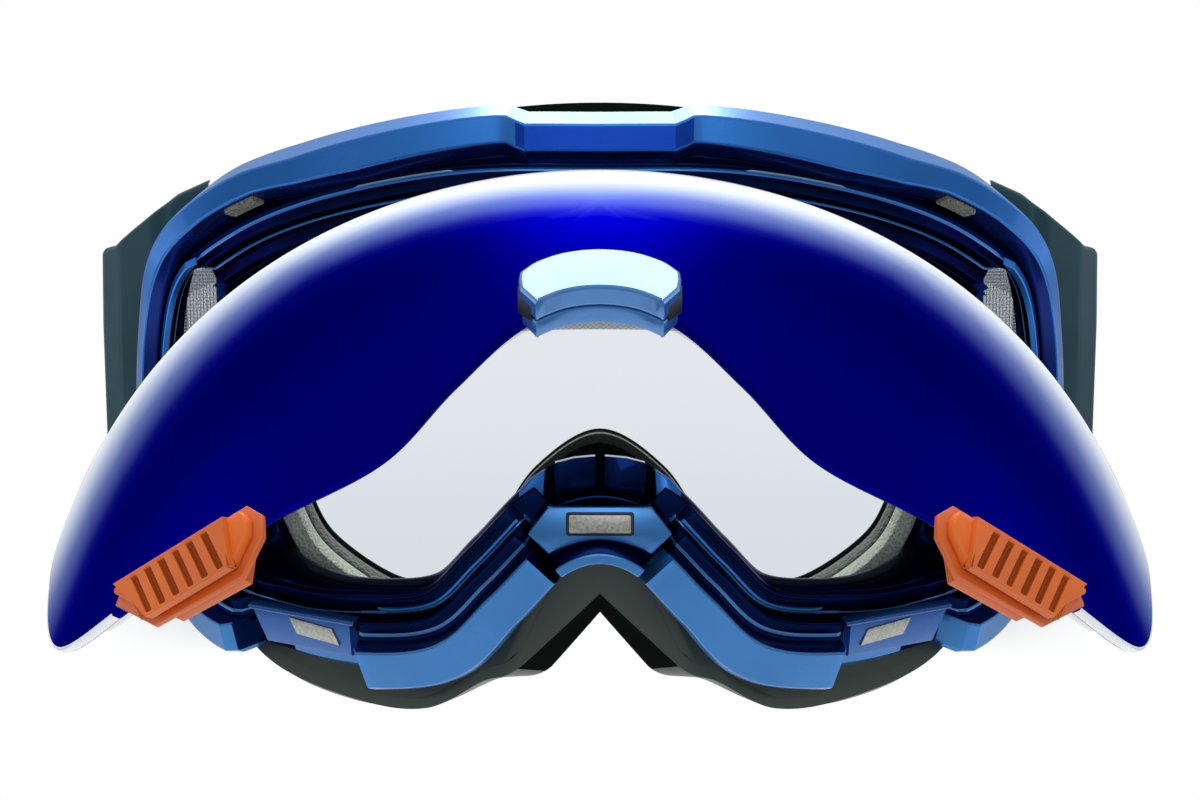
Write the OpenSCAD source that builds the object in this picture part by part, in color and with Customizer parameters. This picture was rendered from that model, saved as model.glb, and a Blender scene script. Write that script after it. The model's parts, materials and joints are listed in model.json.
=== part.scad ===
/* Ski goggles with a lens unit that swings off the frame.
   Origin: middle of the face side of the foam, on the plane of symmetry.
   +X to the wearer's left, +Y towards the face, +Z up.  Millimetres. */

/* [Lens] */
// Radius of the lens surface, the same from above and from the side
lens_r = 93; // [90:1:100]
// How far the front of the closed lens stands ahead of the face
lens_front = 56; // [54:0.5:60]
// Thickness of the mirrored outer pane
outer_pane_t = 1.6; // [1.2:0.1:1.8]
// Thickness of the spacer between the panes
spacer_t = 2.4; // [2:0.1:2.6]
// Thickness of the clear inner pane
inner_pane_t = 1.2; // [1:0.1:1.4]
// Angle at which the lens stands open, 0 is closed
lens_open = 64; // [0:1:78]

/* [Frame] */
// Width of the rim outside the lens edge
rim_w = 7.6; // [6:0.2:8]
// Depth of the rim behind the lens surface
rim_d = 8; // [7.8:0.1:9]
// Gap between the edge of the lens and the rim
lens_gap = 1.3; // [1:0.1:1.6]
// Radius of the face across the foam
face_r = 125; // [110:1:150]

/* [Foam] */
// Thickness of the firm foam layer
foam_base_t = 7; // [5:0.5:9]
// Thickness of the soft foam layer
foam_mid_t = 6; // [4:0.5:8]
// Thickness of the fleece that meets the skin
fleece_t = 2.4; // [1:0.2:4]

/* [Strap] */
// Width of the webbing
strap_w = 40; // [30:1:42]
// Thickness of the webbing
strap_t = 1.4; // [1:0.1:1.6]

/* [Outrigger] */
// Radius of the hinge pins
pin_r = 1.5; // [1.2:0.1:1.8]
// Radial running clearance of the pins
pin_clear = 0.05; // [0.02:0.01:0.1]

/* [Hidden] */
$fn = 32;

// Stations of a ring between two of its outline points
ring_steps = 4;
// The same on the panes and the foam, which need fewer
soft_steps = 2;
// Room between parts that lie against each other
seam = 0.2;
// The hinge line of the lens: it runs along X just under the top edge
hinge_y = 9.7 - lens_front;
hinge_z = 40.7;

// Half outlines as [x, z], from the middle of the brow clockwise to the nose
LENS = [[0, 42.6], [24, 42], [48.4, 37.2], [66.7, 29.8], [78.1, 19.9], [81.7, 0], [80.5, -16.2],
    [74, -35.6], [57.4, -39.2], [42.2, -38.6], [28.2, -35.8], [19, -26.6], [9.7, -16.9], [0, -13.6]];
FACE = [[0, 51.6], [24, 49.6], [46, 42.5], [61, 33], [68.5, 19], [70.2, 0], [71, -18],
    [68, -38], [58, -51], [42, -55.6], [28, -52.5], [16.5, -44.5], [8.8, -41.5], [0, -30.5]];
SKIN = [[0, 50], [24, 48], [46, 41], [60, 31.5], [67.5, 18], [69, 0], [70, -18],
    [67, -37], [57, -49.5], [42, -54.5], [30, -52], [20, -42], [12.5, -27], [0, -16.5]];
EYES = [[0, 34], [22, 33.5], [38, 30.5], [49, 24.5], [55.5, 14], [57.5, 0], [57.5, -14],
    [55, -24], [49.5, -31], [37, -37.5], [26.8, -35.3], [18.6, -26], [11.2, -15], [0, -8.2]];

// ---- curves -------------------------------------------------------------

// A whole outline from its right half
function both(h) = concat(h, [for (i = [len(h) - 2:-1:1]) [-h[i][0], h[i][1]]]);
// Point k of n on a smooth curve through b and c, between neighbours a and d
function smooth(a, b, c, d, t) =
    0.5 * (2 * b + (c - a) * t + (2 * a - 5 * b + 4 * c - d) * t * t
        + (3 * b - a - 3 * c + d) * t * t * t);
function closed_curve(p, n) = let (m = len(p))
    [for (i = [0:m - 1], k = [0:n - 1])
        smooth(p[(i + m - 1) % m], p[i], p[(i + 1) % m], p[(i + 2) % m], k / n)];
function open_curve(p, n) = let (m = len(p) - 1)
    [for (i = [0:m - 1], k = [0:(i == m - 1 ? n : n - 1)])
        smooth(p[max(i - 1, 0)], p[i], p[i + 1], p[min(i + 2, m)], k / n)];
function unit(v) = v / norm(v);
// Direction of travel at point i of a closed outline
function along(p, i) = let (m = len(p)) unit(p[(i + 1) % m] - p[(i + m - 1) % m]);
// An outline moved out by d
function grown(p, d) = [for (i = [0:len(p) - 1]) let (t = along(p, i)) p[i] + d * [-t[1], t[0]]];

// ---- the lens surface and the face ----------------------------------------

function drop(a) = lens_r - sqrt(lens_r * lens_r - a * a);
function slope(a) = a / sqrt(lens_r * lens_r - a * a);
function lens_y(x, z) = drop(x) + drop(z) - lens_front;
function face_y(x) = face_r - sqrt(face_r * face_r - x * x);
// Unit vector out of the front of the lens at [x, z]
function front(q) = unit([slope(q[0]), -1, slope(q[1])]);
// A point off the lens outline: o outwards along the surface, n out of the front
function rim_point(p, i, o, n) = let (
    q = p[i], t = along(p, i), f = front(q),
    run = unit([t[0], slope(q[0]) * t[0] + slope(q[1]) * t[1], t[1]]))
    [q[0], lens_y(q[0], q[1]), q[1]] + o * cross(f, run) + n * f;
// A point of an outline on the face curve, moved d towards the lens
function face_point(q, d) = [q[0], face_y(q[0]) - d, q[1]];

// ---- solids ----------------------------------------------------------------

function quad(a, b, c, d) = [[a, b, c], [a, c, d]];
// A ring through closed sections, one for each station
module ring(secs) {
    n = len(secs);
    m = len(secs[0]);
    polyhedron([for (s = secs, p = s) p],
        [for (i = [0:n - 1], j = [0:m - 1]) let (a = i * m, b = ((i + 1) % n) * m, k = (j + 1) % m)
            each quad(a + j, b + j, b + k, a + k)]);
}
// A bar through closed sections, with flat ends
module bar(secs) {
    n = len(secs);
    m = len(secs[0]);
    polyhedron([for (s = secs, p = s) p],
        concat([for (i = [0:n - 2], j = [0:m - 1]) let (a = i * m, b = a + m, k = (j + 1) % m)
                each quad(a + j, b + j, b + k, a + k)],
            [[for (j = [0:m - 1]) j]], [[for (j = [m - 1:-1:0]) (n - 1) * m + j]]));
}
// A curved pane inside an outline, between two depths under the lens surface
pane_centre = [0, 14];
pane_rings = [0.35, 0.62, 0.82, 0.93, 1];
module pane(p, top, under) {
    n = len(p);
    at = function (s, i) pane_centre + (p[i] - pane_centre) * s;
    skin = function (d) [for (s = pane_rings, i = [0:n - 1]) let (q = at(s, i))
        [q[0], lens_y(q[0], q[1]), q[1]] - d * front(q)];
    mid = function (d) [pane_centre[0], lens_y(pane_centre[0], pane_centre[1]), pane_centre[1]]
        - d * front(pane_centre);
    m = n * len(pane_rings);
    edge = m - n;
    polyhedron(concat(skin(top), skin(under), [mid(top), mid(under)]),
        [for (i = [0:n - 1]) let (j = (i + 1) % n) each concat(
            [[2 * m, j, i], [2 * m + 1, m + i, m + j]],
            [for (k = [0:len(pane_rings) - 2]) let (a = k * n, b = a + n)
                each concat(quad(a + i, a + j, b + j, b + i),
                    quad(m + a + i, m + b + i, m + b + j, m + a + j))],
            quad(edge + i, edge + j, m + edge + j, m + edge + i))]);
}
module mirrored(side) { if (side < 0) mirror([1, 0, 0]) children(); else children(); }
// Puts a part drawn on the XZ plane onto the lens surface at [x, z], its -Y to the front
module on_lens(x, z) {
    u = unit([1, slope(x), 0]);
    b = -front([x, z]);
    w = cross(u, b);
    multmatrix([[u[0], b[0], w[0], x], [u[1], b[1], w[1], lens_y(x, z)], [u[2], b[2], w[2], z],
        [0, 0, 0, 1]]) children();
}
// A plate of an [x, z] outline, from depth y0 to y1
module plate(outline, y0, y1) {
    translate([0, y1, 0]) rotate([90, 0, 0]) linear_extrude(y1 - y0) polygon(outline);
}
// A block of a plan outline [x, y], from height z0 to z1
module block(outline, z0, z1) { translate([0, 0, z0]) linear_extrude(z1 - z0) polygon(outline); }
module box(a, b) { translate(a) cube(b - a); }
// The lens unit swings open about its hinge line
module opened() {
    translate([0, hinge_y, hinge_z]) rotate([-lens_open, 0, 0])
        translate([0, -hinge_y, -hinge_z]) children();
}

// ---- frame -------------------------------------------------------------------

lens_line = closed_curve(both(LENS), ring_steps);
face_line = closed_curve(both(FACE), ring_steps);
stations = [0:len(lens_line) - 1];
// Where the rim is cut back for the grip tabs
tab_from = 42;
tab_to = 66;
tab_sink = 5.6;
function at_tab(q) = q[1] < -25 && abs(q[0]) > tab_from && abs(q[0]) < tab_to;
// Where it is cut back behind the nose clip
nose_half = 12.6;
nose_step = 5.1;
function at_nose(q) = q[1] < -5 && abs(q[0]) < nose_half;
// Along the brow the rim is hollowed, so that the edge of the lens can turn in it
function at_top(q) = q[1] > 24;
// There it is also wider, with a flatter bevel
brow_w = 2;
function rim_edge(q) = rim_w + (at_top(q) ? brow_w : 0);
function bevel(q) = at_top(q) ? 1.2 : 2.4;
// The middle of the brow is a little lower
brow_half = 17;
brow_step = 0.5;
function at_brow(q) = q[1] > 30 && abs(q[0]) < brow_half;
shelf_w = 2.2;
flange_w = 5.5;
function shelf_d(q) = at_nose(q) ? 7.3 : at_tab(q) ? tab_sink : at_top(q) ? 3.9 : 2.8;
function flange_d(q) = at_nose(q) ? 7.3 : 6.2;
face_lip = 0.8;
// Section of the rim: front face, bevel, outer wall, back, flange and the two steps the lens sits on
function rim_section(i) = let (
    q = lens_line[i],
    inner = lens_gap + (at_nose(q) ? nose_step : 0),
    lower = at_brow(q) ? -brow_step : 0,
    lip = at_tab(q) ? -tab_sink : face_lip)
    [for (e = [[inner, lip], [(inner + rim_edge(q)) / 2 + 0.6, lip], [rim_edge(q), min(lip, 0) - bevel(q)],
        [rim_w + 0.3, -rim_d], [-flange_w, -rim_d], [-flange_w, -flange_d(q)], [-shelf_w, -flange_d(q)],
        [-shelf_w, -shelf_d(q)], [inner, -shelf_d(q)]])
        rim_point(lens_line, i, e[0] + (e[0] > 0 ? lower : 0), e[1])];
module front_frame() color("steelblue") ring([for (i = stations) rim_section(i)]);

foam_depth = foam_base_t + foam_mid_t + fleece_t;
// Window of the side vents, in the walls beside the temples
vent_from = 70.6;
vent_to = 77.4;
vent_low = -4;
vent_high = 24;
module vent_windows() {
    for (s = [-1, 1]) mirrored(s) box([vent_from, -14, vent_low], [vent_to, 14, vent_high]);
}
wall = 2.4;
back_inset = rim_w - 1.2;
function inward(p, i) = let (t = along(p, i)) [t[1], -t[0]];
function back_section(i) = let (q = face_line[i], inwards = wall * inward(face_line, i))
    [rim_point(lens_line, i, back_inset, -rim_d - seam), face_point(q, foam_depth + seam),
        face_point(q + inwards, foam_depth + seam),
        rim_point(lens_line, i, back_inset - wall, -rim_d - seam)];
module back_frame() color("darkslategray") difference() {
    ring([for (i = stations) back_section(i)]);
    vent_windows();
}

shell_line = grown(closed_curve(both(EYES), ring_steps), 3.5);
shell_t = 1.8;
function shell_section(i) = let (q = shell_line[i], inwards = shell_t * inward(shell_line, i))
    [rim_point(lens_line, i, -flange_w + shell_t, -rim_d - seam), face_point(q, foam_depth + seam),
        face_point(q + inwards, foam_depth + seam), rim_point(lens_line, i, -flange_w, -rim_d - seam)];
module inner_shell() color("midnightblue") difference() {
    ring([for (i = stations) shell_section(i)]);
    vent_windows();
}

// Bridge plate that the nose clip closes onto
plate_front = -50.5;
plate_t = 1.15;
bridge = [[-8.6, -13], [8.6, -13], [11.6, -15.5], [9.2, -18.3], [-9.2, -18.3], [-11.6, -15.5]];
nose_magnet_w = 10.8;
nose_magnet_h = 3.2;
nose_magnet_z = -15.4;
magnet_t = 1;
module nose_magnet_box(extra) {
    e = extra * [1, 1, 1];
    box([-nose_magnet_w / 2, plate_front, nose_magnet_z - nose_magnet_h / 2] - e,
        [nose_magnet_w / 2, plate_front + magnet_t, nose_magnet_z + nose_magnet_h / 2] + e);
}
module nose_plate() color("steelblue") difference() {
    plate(bridge, plate_front, plate_front + plate_t);
    nose_magnet_box(0.1);
}
module nose_magnet() color("silver") nose_magnet_box(0);

// Pads in the cut-outs of the rim, with the magnets that hold the tabs
pad_x = 51.5;
pad_z = -40;
pad_depth = 5.4;
pad_outline = [[-9.2, 3], [13, 3], [12, -4], [-7.6, -4]];
magnet_outline = [[-5, 1.4], [4.4, 2.4], [3.8, -1], [-5.6, -1.9]];
module tab_pad(side) color("royalblue") mirrored(side) on_lens(pad_x, pad_z) difference() {
    plate(pad_outline, pad_depth - 1.6, pad_depth);
    plate(grown(magnet_outline, 0.12), pad_depth - 1.8, pad_depth - 0.8);
}
module pad_magnet(side) color("silver") mirrored(side) on_lens(pad_x, pad_z)
    plate(magnet_outline, pad_depth - 1.65, pad_depth - 0.85);

// Woven wire mesh of the side vents
module vent_mesh(side) color("gainsboro") mirrored(side)
    box([vent_from + 0.1, 2.6, vent_low + 0.1], [vent_to - 0.1, 3.2, vent_high - 0.1]);

// Open foam in the vents between the outer wall and the inner shell
vent_foam_in = 1;
vent_foam_out = 3.2;
function vent_foam_section(i) = [
    rim_point(lens_line, i, vent_foam_out, -rim_d - 1), rim_point(lens_line, i, vent_foam_out, -rim_d - 4),
    rim_point(lens_line, i, vent_foam_in, -rim_d - 4), rim_point(lens_line, i, vent_foam_in, -rim_d - 1)];
module vent_foam(first, last) {
    n = len(lens_line);
    bar([for (k = [first:last]) vent_foam_section((k + n) % n)]);
}
top_reach = 11;
module top_vent_foam() color("dimgray") vent_foam(-top_reach, top_reach);
module bottom_vent_foam(side) color("dimgray") mirrored(side) vent_foam(32, 38);

// ---- foam ----------------------------------------------------------------------

function soft_line(half) = closed_curve(both(half), soft_steps);
// A layer of foam between two outlines, from depth d0 to d1 ahead of the face
module foam_layer(outer, inner, d0, d1) {
    a = soft_line(outer);
    b = soft_line(inner);
    ring([for (i = [0:len(a) - 1])
        [face_point(a[i], d1), face_point(a[i], d0), face_point(b[i], d0), face_point(b[i], d1)]]);
}
function half_way(a, b) = [for (i = [0:len(a) - 1]) (a[i] + b[i]) / 2];
module foam_base() color("slategray") foam_layer(FACE, EYES, foam_mid_t + fleece_t, foam_depth);
module foam_mid() color("gray")
    foam_layer(half_way(FACE, SKIN), EYES, fleece_t, foam_mid_t + fleece_t - seam);
module face_fleece() color("black") foam_layer(SKIN, EYES, 0, fleece_t - seam);

// ---- outriggers -------------------------------------------------------------------

hinge_x = 84.5;
hinge_back = 17;
knuckle_r = 2.9;
arm_low = 16;
arm_high = 23;
pin_top = 24;
module pin_hole(low, high) {
    translate([hinge_x, hinge_back, low]) cylinder(r = pin_r + pin_clear, h = high - low);
}
module knuckle(low, high) { translate([hinge_x, hinge_back, low]) cylinder(r = knuckle_r, h = high - low); }
bracket_bar = [[77.9, 5.4], [79.3, 5.4], [79.3, 10.5], [77.9, 10.5]];
bracket_arm = [[77.9, 5.6], [79.3, 5.6], [79.3, 11.6], [84.2, 14.2], [83, 19.4], [77.9, 13.5]];
module side_bracket(side) color("darkslategray") mirrored(side) difference() {
    union() {
        block(bracket_bar, -arm_high, arm_high);
        for (s = [-1, 1]) mirror([0, 0, s < 0 ? 1 : 0]) {
            block(bracket_arm, arm_low, arm_high);
            knuckle(arm_low, arm_high);
        }
    }
    pin_hole(-arm_high - 1, arm_high + 1);
}
module hinge_pin(side) color("silver") mirrored(side) translate([hinge_x, hinge_back, 0]) {
    translate([0, 0, -pin_top]) cylinder(r = pin_r, h = 2 * pin_top);
    translate([0, 0, arm_high + seam]) cylinder(r = pin_r + 0.8, h = 1);
}
// The outrigger is a bent panel: a plan outline cut to a front outline
panel_plan = [[73, 6.2], [84, 8.2], [91, 13], [95.6, 20], [97.8, 28], [98.2, 44],
    [95.6, 44], [94.7, 29.2], [92.6, 21.8], [88.8, 15.8], [83, 11.4], [73, 9.2]];
panel_front = [[73, 38], [84, 34], [93, 28], [97.4, 24], [99.5, 18], [99.5, -20], [96, -26], [88, -31],
    [80.6, -32], [80.6, 26.5], [73, 29.5]];
slot_h = strap_w / 2 + 1.5;
slot_from = 35;
slot_to = 39.4;
web = [[84.5, 14.4], [89.6, 15.2], [91, 18.4], [84.5, 19.6]];
module outrigger(side) color("darkslategray") mirrored(side) difference() {
    union() {
        intersection() {
            block(panel_plan, -40, 45);
            plate(panel_front, 0, 45);
        }
        knuckle(-arm_low + 0.3, arm_low - 0.3);
        block(web, -arm_low + 0.3, arm_low - 0.3);
    }
    pin_hole(-arm_low, arm_low);
    box([90, slot_from, -slot_h], [102, slot_to, slot_h]);
}

// ---- strap ---------------------------------------------------------------------------

strap_x = 93.6;
end_y = 92;
fold = slot_from + 1.4;
ply_gap = 0.4;
tail_y = 53;
turn_x = strap_x + strap_t + 5.1;
// Webbing doubled through the slot of the outrigger and back
loop_plan = let (t = strap_t, x = strap_x, far = turn_x) [
    [x, end_y], [x, fold + 0.8], [x + 0.8, fold], [far - 0.8, fold], [far, fold + 0.8], [far, 46.4],
    [x + 2 * t + ply_gap, tail_y], [x + 2 * t + ply_gap, end_y - 4], [x + t + ply_gap, end_y - 4],
    [x + t + ply_gap, tail_y - ply_gap],
    [far - t, 46], [far - t, fold + t], [x + t, fold + t], [x + t, end_y]];
module strap_end(side) color("lightsteelblue") mirrored(side) block(loop_plan, -strap_w / 2, strap_w / 2);

slider_y = 66;
slider_l = 16;
slider_wall = 1.5;
slider_gap = 0.35;
module slider(side) color("black") mirrored(side) difference() {
    x0 = strap_x - slider_gap;
    x1 = strap_x + 2 * strap_t + ply_gap + slider_gap;
    h = strap_w / 2 + slider_gap;
    box([x0 - slider_wall, slider_y - slider_l / 2, -h - slider_wall],
        [x1 + slider_wall, slider_y + slider_l / 2, h + slider_wall]);
    box([x0, slider_y - slider_l, -h], [x1, slider_y + slider_l, h]);
    for (s = [-1, 1]) box([x1 - 1, slider_y + s * 3.6 - 2, -h], [x1 + 5, slider_y + s * 3.6 + 2, h]);
}
// Middle line of the strap round the head as [x, y, z], from the left end to the right
STRAP_HALF = [[94.3, 93.4, 0], [93.6, 112, 0.6], [89.5, 137, 3], [79, 163, 6], [61, 186, 8.5],
    [35, 203, 10], [0, 209, 10.6]];
strap_points = concat(STRAP_HALF, [for (i = [len(STRAP_HALF) - 2:-1:0])
    [-STRAP_HALF[i][0], STRAP_HALF[i][1], STRAP_HALF[i][2]]]);
module strap() color("lightsteelblue") {
    line = open_curve(strap_points, 3);
    m = len(line) - 1;
    bar([for (i = [0:m]) let (
        t = i == 0 || i == m ? [0, i == 0 ? 1 : -1, 0] : unit(line[i + 1] - line[i - 1]),
        side = unit([t[1], -t[0], 0]) * strap_t / 2, up = [0, 0, strap_w / 2])
        [line[i] + side + up, line[i] + side - up, line[i] - side - up, line[i] - side + up]]);
}

// ---- lens unit -------------------------------------------------------------------------

pane_line = closed_curve(both(LENS), soft_steps);
spacer_in = 3;
spacer_w = 4;
pane_seam = 0.3;
inner_top = outer_pane_t + spacer_t;
module lens_outer() color("mediumblue") opened() pane(pane_line, 0, outer_pane_t - pane_seam);
spacer_out = spacer_in + spacer_w;
spacer_top = outer_pane_t + pane_seam;
module lens_spacer() color("black") opened() ring([for (i = [0:len(pane_line) - 1])
    [for (e = [[spacer_in, spacer_top], [spacer_in, inner_top],
        [spacer_out, inner_top], [spacer_out, spacer_top]])
        rim_point(pane_line, i, -e[0], -e[1])]]);
module lens_inner() color("aliceblue") opened()
    pane(grown(pane_line, -spacer_in), inner_top + pane_seam, inner_top + inner_pane_t);

// Clip over the nose edge of the lens, in a front and a back half
clip_front = -60.4;
clip_line = -57.4;
clip_rear = -54.8;
clip_top = [[-10.6, -15.6], [-8.4, -12.6], [-4.6, -10.2], [0, -9.3],
    [4.6, -10.2], [8.4, -12.6], [10.6, -15.6]];
clip_arch = [[10.4, -19.5], [8.3, -23.4], [4.5, -20.5], [0, -19.5],
    [-4.5, -20.5], [-8.3, -23.4], [-10.4, -19.5]];
foot_top = [[-10.2, -18.3], [-5, -15.7], [0, -14.7], [5, -15.7], [10.2, -18.3]];
module clip_magnet_box(extra) {
    e = extra * [1, 1, 1];
    box([-4, clip_rear - magnet_t, -18.6] - e, [4, clip_rear, -16.2] + e);
}
module nose_clip_front() color("steelblue") opened()
    plate(concat(clip_top, clip_arch), clip_front, clip_line);
module nose_clip_back() color("steelblue") opened() difference() {
    plate(concat(foot_top, clip_arch), clip_line + 0.1, clip_rear);
    clip_magnet_box(0.1);
}
module clip_magnet() color("silver") opened() clip_magnet_box(0);

// Grip tabs on the lower corners of the lens, in a front and a back half
tab_x = 54;
tab_z = -41.5;
tab_outline = [[-12.3, -2], [-9.5, 5], [10, 4.6], [13.6, 2], [12.4, -5.6], [-8.4, -5.4]];
tab_magnet_outline = [[-2.6, -1.6], [4.2, -1.2], [4.6, -3.8], [-2.4, -3.6]];
grooves = 6;
groove_pitch = 2.9;
module on_tab(side) { opened() mirrored(side) on_lens(tab_x, tab_z) mirror([1, 0, 0]) children(); }
module grip_tab(side) color("darkorange") on_tab(side) difference() {
    plate(tab_outline, -3, -0.3);
    for (i = [0:grooves - 1]) translate([(i - (grooves - 1) / 2) * groove_pitch, -3.1, 0.2])
        rotate([0, 12, 0]) translate([0, 0, -3.4]) cylinder(r = 0.7, h = 6.4);
}
module tab_back(side) color("orangered") on_tab(side) difference() {
    plate([[-9.8, 0.4], [12.4, 0.6], [11.8, -5.2], [-7.9, -5]], -0.2, 1.9);
    plate(grown(tab_magnet_outline, 0.12), 1.2, 2);
}
module tab_magnet(side) color("silver") on_tab(side)
    plate(tab_magnet_outline, 1.25, 1.85);

front_frame();
back_frame();
inner_shell();
nose_plate();
nose_magnet();
tab_pad(1);  // tab_pad_left
tab_pad(-1);  // tab_pad_right
pad_magnet(1);  // pad_magnet_left
pad_magnet(-1);  // pad_magnet_right
vent_mesh(1);  // vent_mesh_left
vent_mesh(-1);  // vent_mesh_right
top_vent_foam();
bottom_vent_foam(1);  // bottom_vent_foam_left
bottom_vent_foam(-1);  // bottom_vent_foam_right
foam_base();
foam_mid();
face_fleece();
side_bracket(1);  // side_bracket_left
side_bracket(-1);  // side_bracket_right
hinge_pin(1);  // hinge_pin_left
hinge_pin(-1);  // hinge_pin_right
outrigger(1);  // outrigger_left
outrigger(-1);  // outrigger_right
strap_end(1);  // strap_end_left
strap_end(-1);  // strap_end_right
slider(1);  // slider_left
slider(-1);  // slider_right
strap();
lens_outer();
lens_spacer();
lens_inner();
nose_clip_front();
nose_clip_back();
clip_magnet();
grip_tab(1);  // grip_tab_left
grip_tab(-1);  // grip_tab_right
tab_back(1);  // tab_back_left
tab_back(-1);  // tab_back_right
tab_magnet(1);  // tab_magnet_left
tab_magnet(-1);  // tab_magnet_right
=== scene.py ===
"""Visual model of the ski goggles: the lens unit swung open off the blue frame, face foam,
side vents, outriggers and strap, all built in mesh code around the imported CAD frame.
Points are in millimetres in the row frame until piece() makes an object of them in metres."""
import json
import math

import bmesh
import bpy
import numpy as np
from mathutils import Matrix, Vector


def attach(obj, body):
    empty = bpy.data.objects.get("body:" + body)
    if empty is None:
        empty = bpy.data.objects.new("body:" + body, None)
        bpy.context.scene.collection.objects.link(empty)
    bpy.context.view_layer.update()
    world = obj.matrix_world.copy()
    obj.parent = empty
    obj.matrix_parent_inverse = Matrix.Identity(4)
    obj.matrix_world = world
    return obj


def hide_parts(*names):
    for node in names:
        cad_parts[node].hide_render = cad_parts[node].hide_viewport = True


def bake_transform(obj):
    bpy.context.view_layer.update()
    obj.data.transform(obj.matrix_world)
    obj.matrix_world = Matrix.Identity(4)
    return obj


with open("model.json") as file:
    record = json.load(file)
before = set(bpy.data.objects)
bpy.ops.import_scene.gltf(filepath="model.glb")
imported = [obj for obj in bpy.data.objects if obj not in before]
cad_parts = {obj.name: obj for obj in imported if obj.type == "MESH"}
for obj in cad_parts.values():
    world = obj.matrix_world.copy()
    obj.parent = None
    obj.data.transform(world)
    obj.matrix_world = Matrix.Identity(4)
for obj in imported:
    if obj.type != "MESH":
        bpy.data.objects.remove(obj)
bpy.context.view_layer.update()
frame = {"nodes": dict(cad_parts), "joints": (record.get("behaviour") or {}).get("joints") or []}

MM = 0.001
SIDES = (("left", 1), ("right", -1))
STEPS = 16          # stations between two control points of an outline

# ---- shape of the goggles, as in the CAD source (mm)
LENS_R = 93.0
LENS_FRONT = 56.0
FACE_R = 125.0
FOAM_BASE, FOAM_MID, FLEECE = 7.0, 6.0, 2.4
FOAM_DEPTH = FOAM_BASE + FOAM_MID + FLEECE
OUTER_PANE, SPACER, INNER_PANE = 1.6, 2.4, 1.2
RIM_W, RIM_D = 7.6, 8.0
LENS = [(0, 42.6), (24, 42), (48.4, 37.2), (66.7, 29.8), (78.1, 19.9), (81.7, 0), (80.5, -16.2),
        (74, -35.6), (57.4, -39.2), (42.2, -38.6), (28.2, -35.8), (19, -26.6), (9.7, -16.9), (0, -13.6)]
FACE = [(0, 51.6), (24, 49.6), (46, 42.5), (61, 33), (68.5, 19), (70.2, 0), (71, -18),
        (68, -38), (58, -51), (42, -55.6), (28, -52.5), (16.5, -44.5), (8.8, -41.5), (0, -30.5)]
SKIN = [(0, 50), (24, 48), (46, 41), (60, 31.5), (67.5, 18), (69, 0), (70, -18),
        (67, -37), (57, -49.5), (42, -54.5), (30, -52), (20, -42), (12.5, -27), (0, -16.5)]
EYES = [(0, 34), (22, 33.5), (38, 30.5), (49, 24.5), (55.5, 14), (57.5, 0), (57.5, -14),
        (55, -24), (49.5, -31), (37, -37.5), (26.8, -35.3), (18.6, -26), (11.2, -15), (0, -8.2)]
PANE_CENTRE = np.array([0.0, 14.0])
TAB_AT = (54.0, -41.5)
PAD_AT = (51.5, -40.0)
VENT_X = (70.6, 77.4)
VENT_Z = (-4.0, 24.0)
WEB_W, WEB_T = 40, 1.4
FAR = 999           # beyond every station
SWING = next(j for j in frame["joints"] if j["name"] == "lens_swing")
HINGE = np.array(SWING["pos_m"]) / MM
LENS_OPEN = -SWING["range_deg"][0]


# ---- curves
def both(half):
    """A whole outline from its right half."""
    return half + [(-x, z) for x, z in reversed(half[1:-1])]


def smooth(a, b, c, d, n):
    """n points of a smooth curve from b towards c, between neighbours a and d."""
    t = (np.arange(n) / n)[:, None]
    return 0.5 * (2 * b + (c - a) * t + (2 * a - 5 * b + 4 * c - d) * t ** 2
                  + (3 * b - a - 3 * c + d) * t ** 3)


def curve(points, n=STEPS, closed=True):
    """A smooth curve through points, n stations from each to the next; an outline if closed."""
    p = np.array(points, float)
    m = len(p)
    k = np.arange(-1, m + 2) % m if closed else np.clip(np.arange(-1, m + 1), 0, m - 1)
    parts = [smooth(*p[k[i:i + 4]], n) for i in range(len(k) - 3)]
    return np.concatenate(parts if closed else parts + [p[-1:]])


def unit(v):
    """Vectors brought to length 1."""
    return v / np.maximum(np.linalg.norm(v, axis=-1, keepdims=True), 1e-9)


def outward(p):
    """Unit vectors square to a closed outline, away from its middle."""
    t = unit(np.roll(p, -1, 0) - np.roll(p, 1, 0))
    return np.stack([-t[:, 1], t[:, 0]], 1)


def grown(p, d):
    """The outline moved out by d, one distance or one for each point."""
    return p + np.reshape(d, (-1, 1)) * outward(p)


def ramp(v, a, b):
    """0 below a, 1 above b, smooth between."""
    t = np.clip((np.asarray(v, float) - a) / (b - a), 0, 1)
    return t * t * (3 - 2 * t)


def band(v, a, b, w):
    """1 between a and b, falling to 0 over w on either side."""
    return ramp(v, a - w, a) * (1 - ramp(v, b, b + w))


# ---- the lens surface and the face
def drop(a):
    """How far the lens surface falls back at a from its middle line."""
    return LENS_R - np.sqrt(LENS_R ** 2 - np.square(a))


def slope(a):
    """The slope of that fall."""
    return a / np.sqrt(LENS_R ** 2 - np.square(a))


def lens_point(q):
    """Points of the closed lens surface at [x, z]."""
    x, z = q[..., 0], q[..., 1]
    return np.stack([x, drop(x) + drop(z) - LENS_FRONT, z], -1)


def lens_normal(q):
    """Directions square to the lens surface there, to the front."""
    x, z = q[..., 0], q[..., 1]
    return unit(np.stack([slope(x), -np.ones_like(x), slope(z)], -1))


def face_y(x):
    """How far back the wearer's face is at x."""
    return FACE_R - np.sqrt(FACE_R ** 2 - np.square(x))


def face_point(q, d):
    """Points d ahead of the wearer's face at [x, z]."""
    return np.stack([q[..., 0], face_y(q[..., 0]) - d, q[..., 1]], -1)


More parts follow.
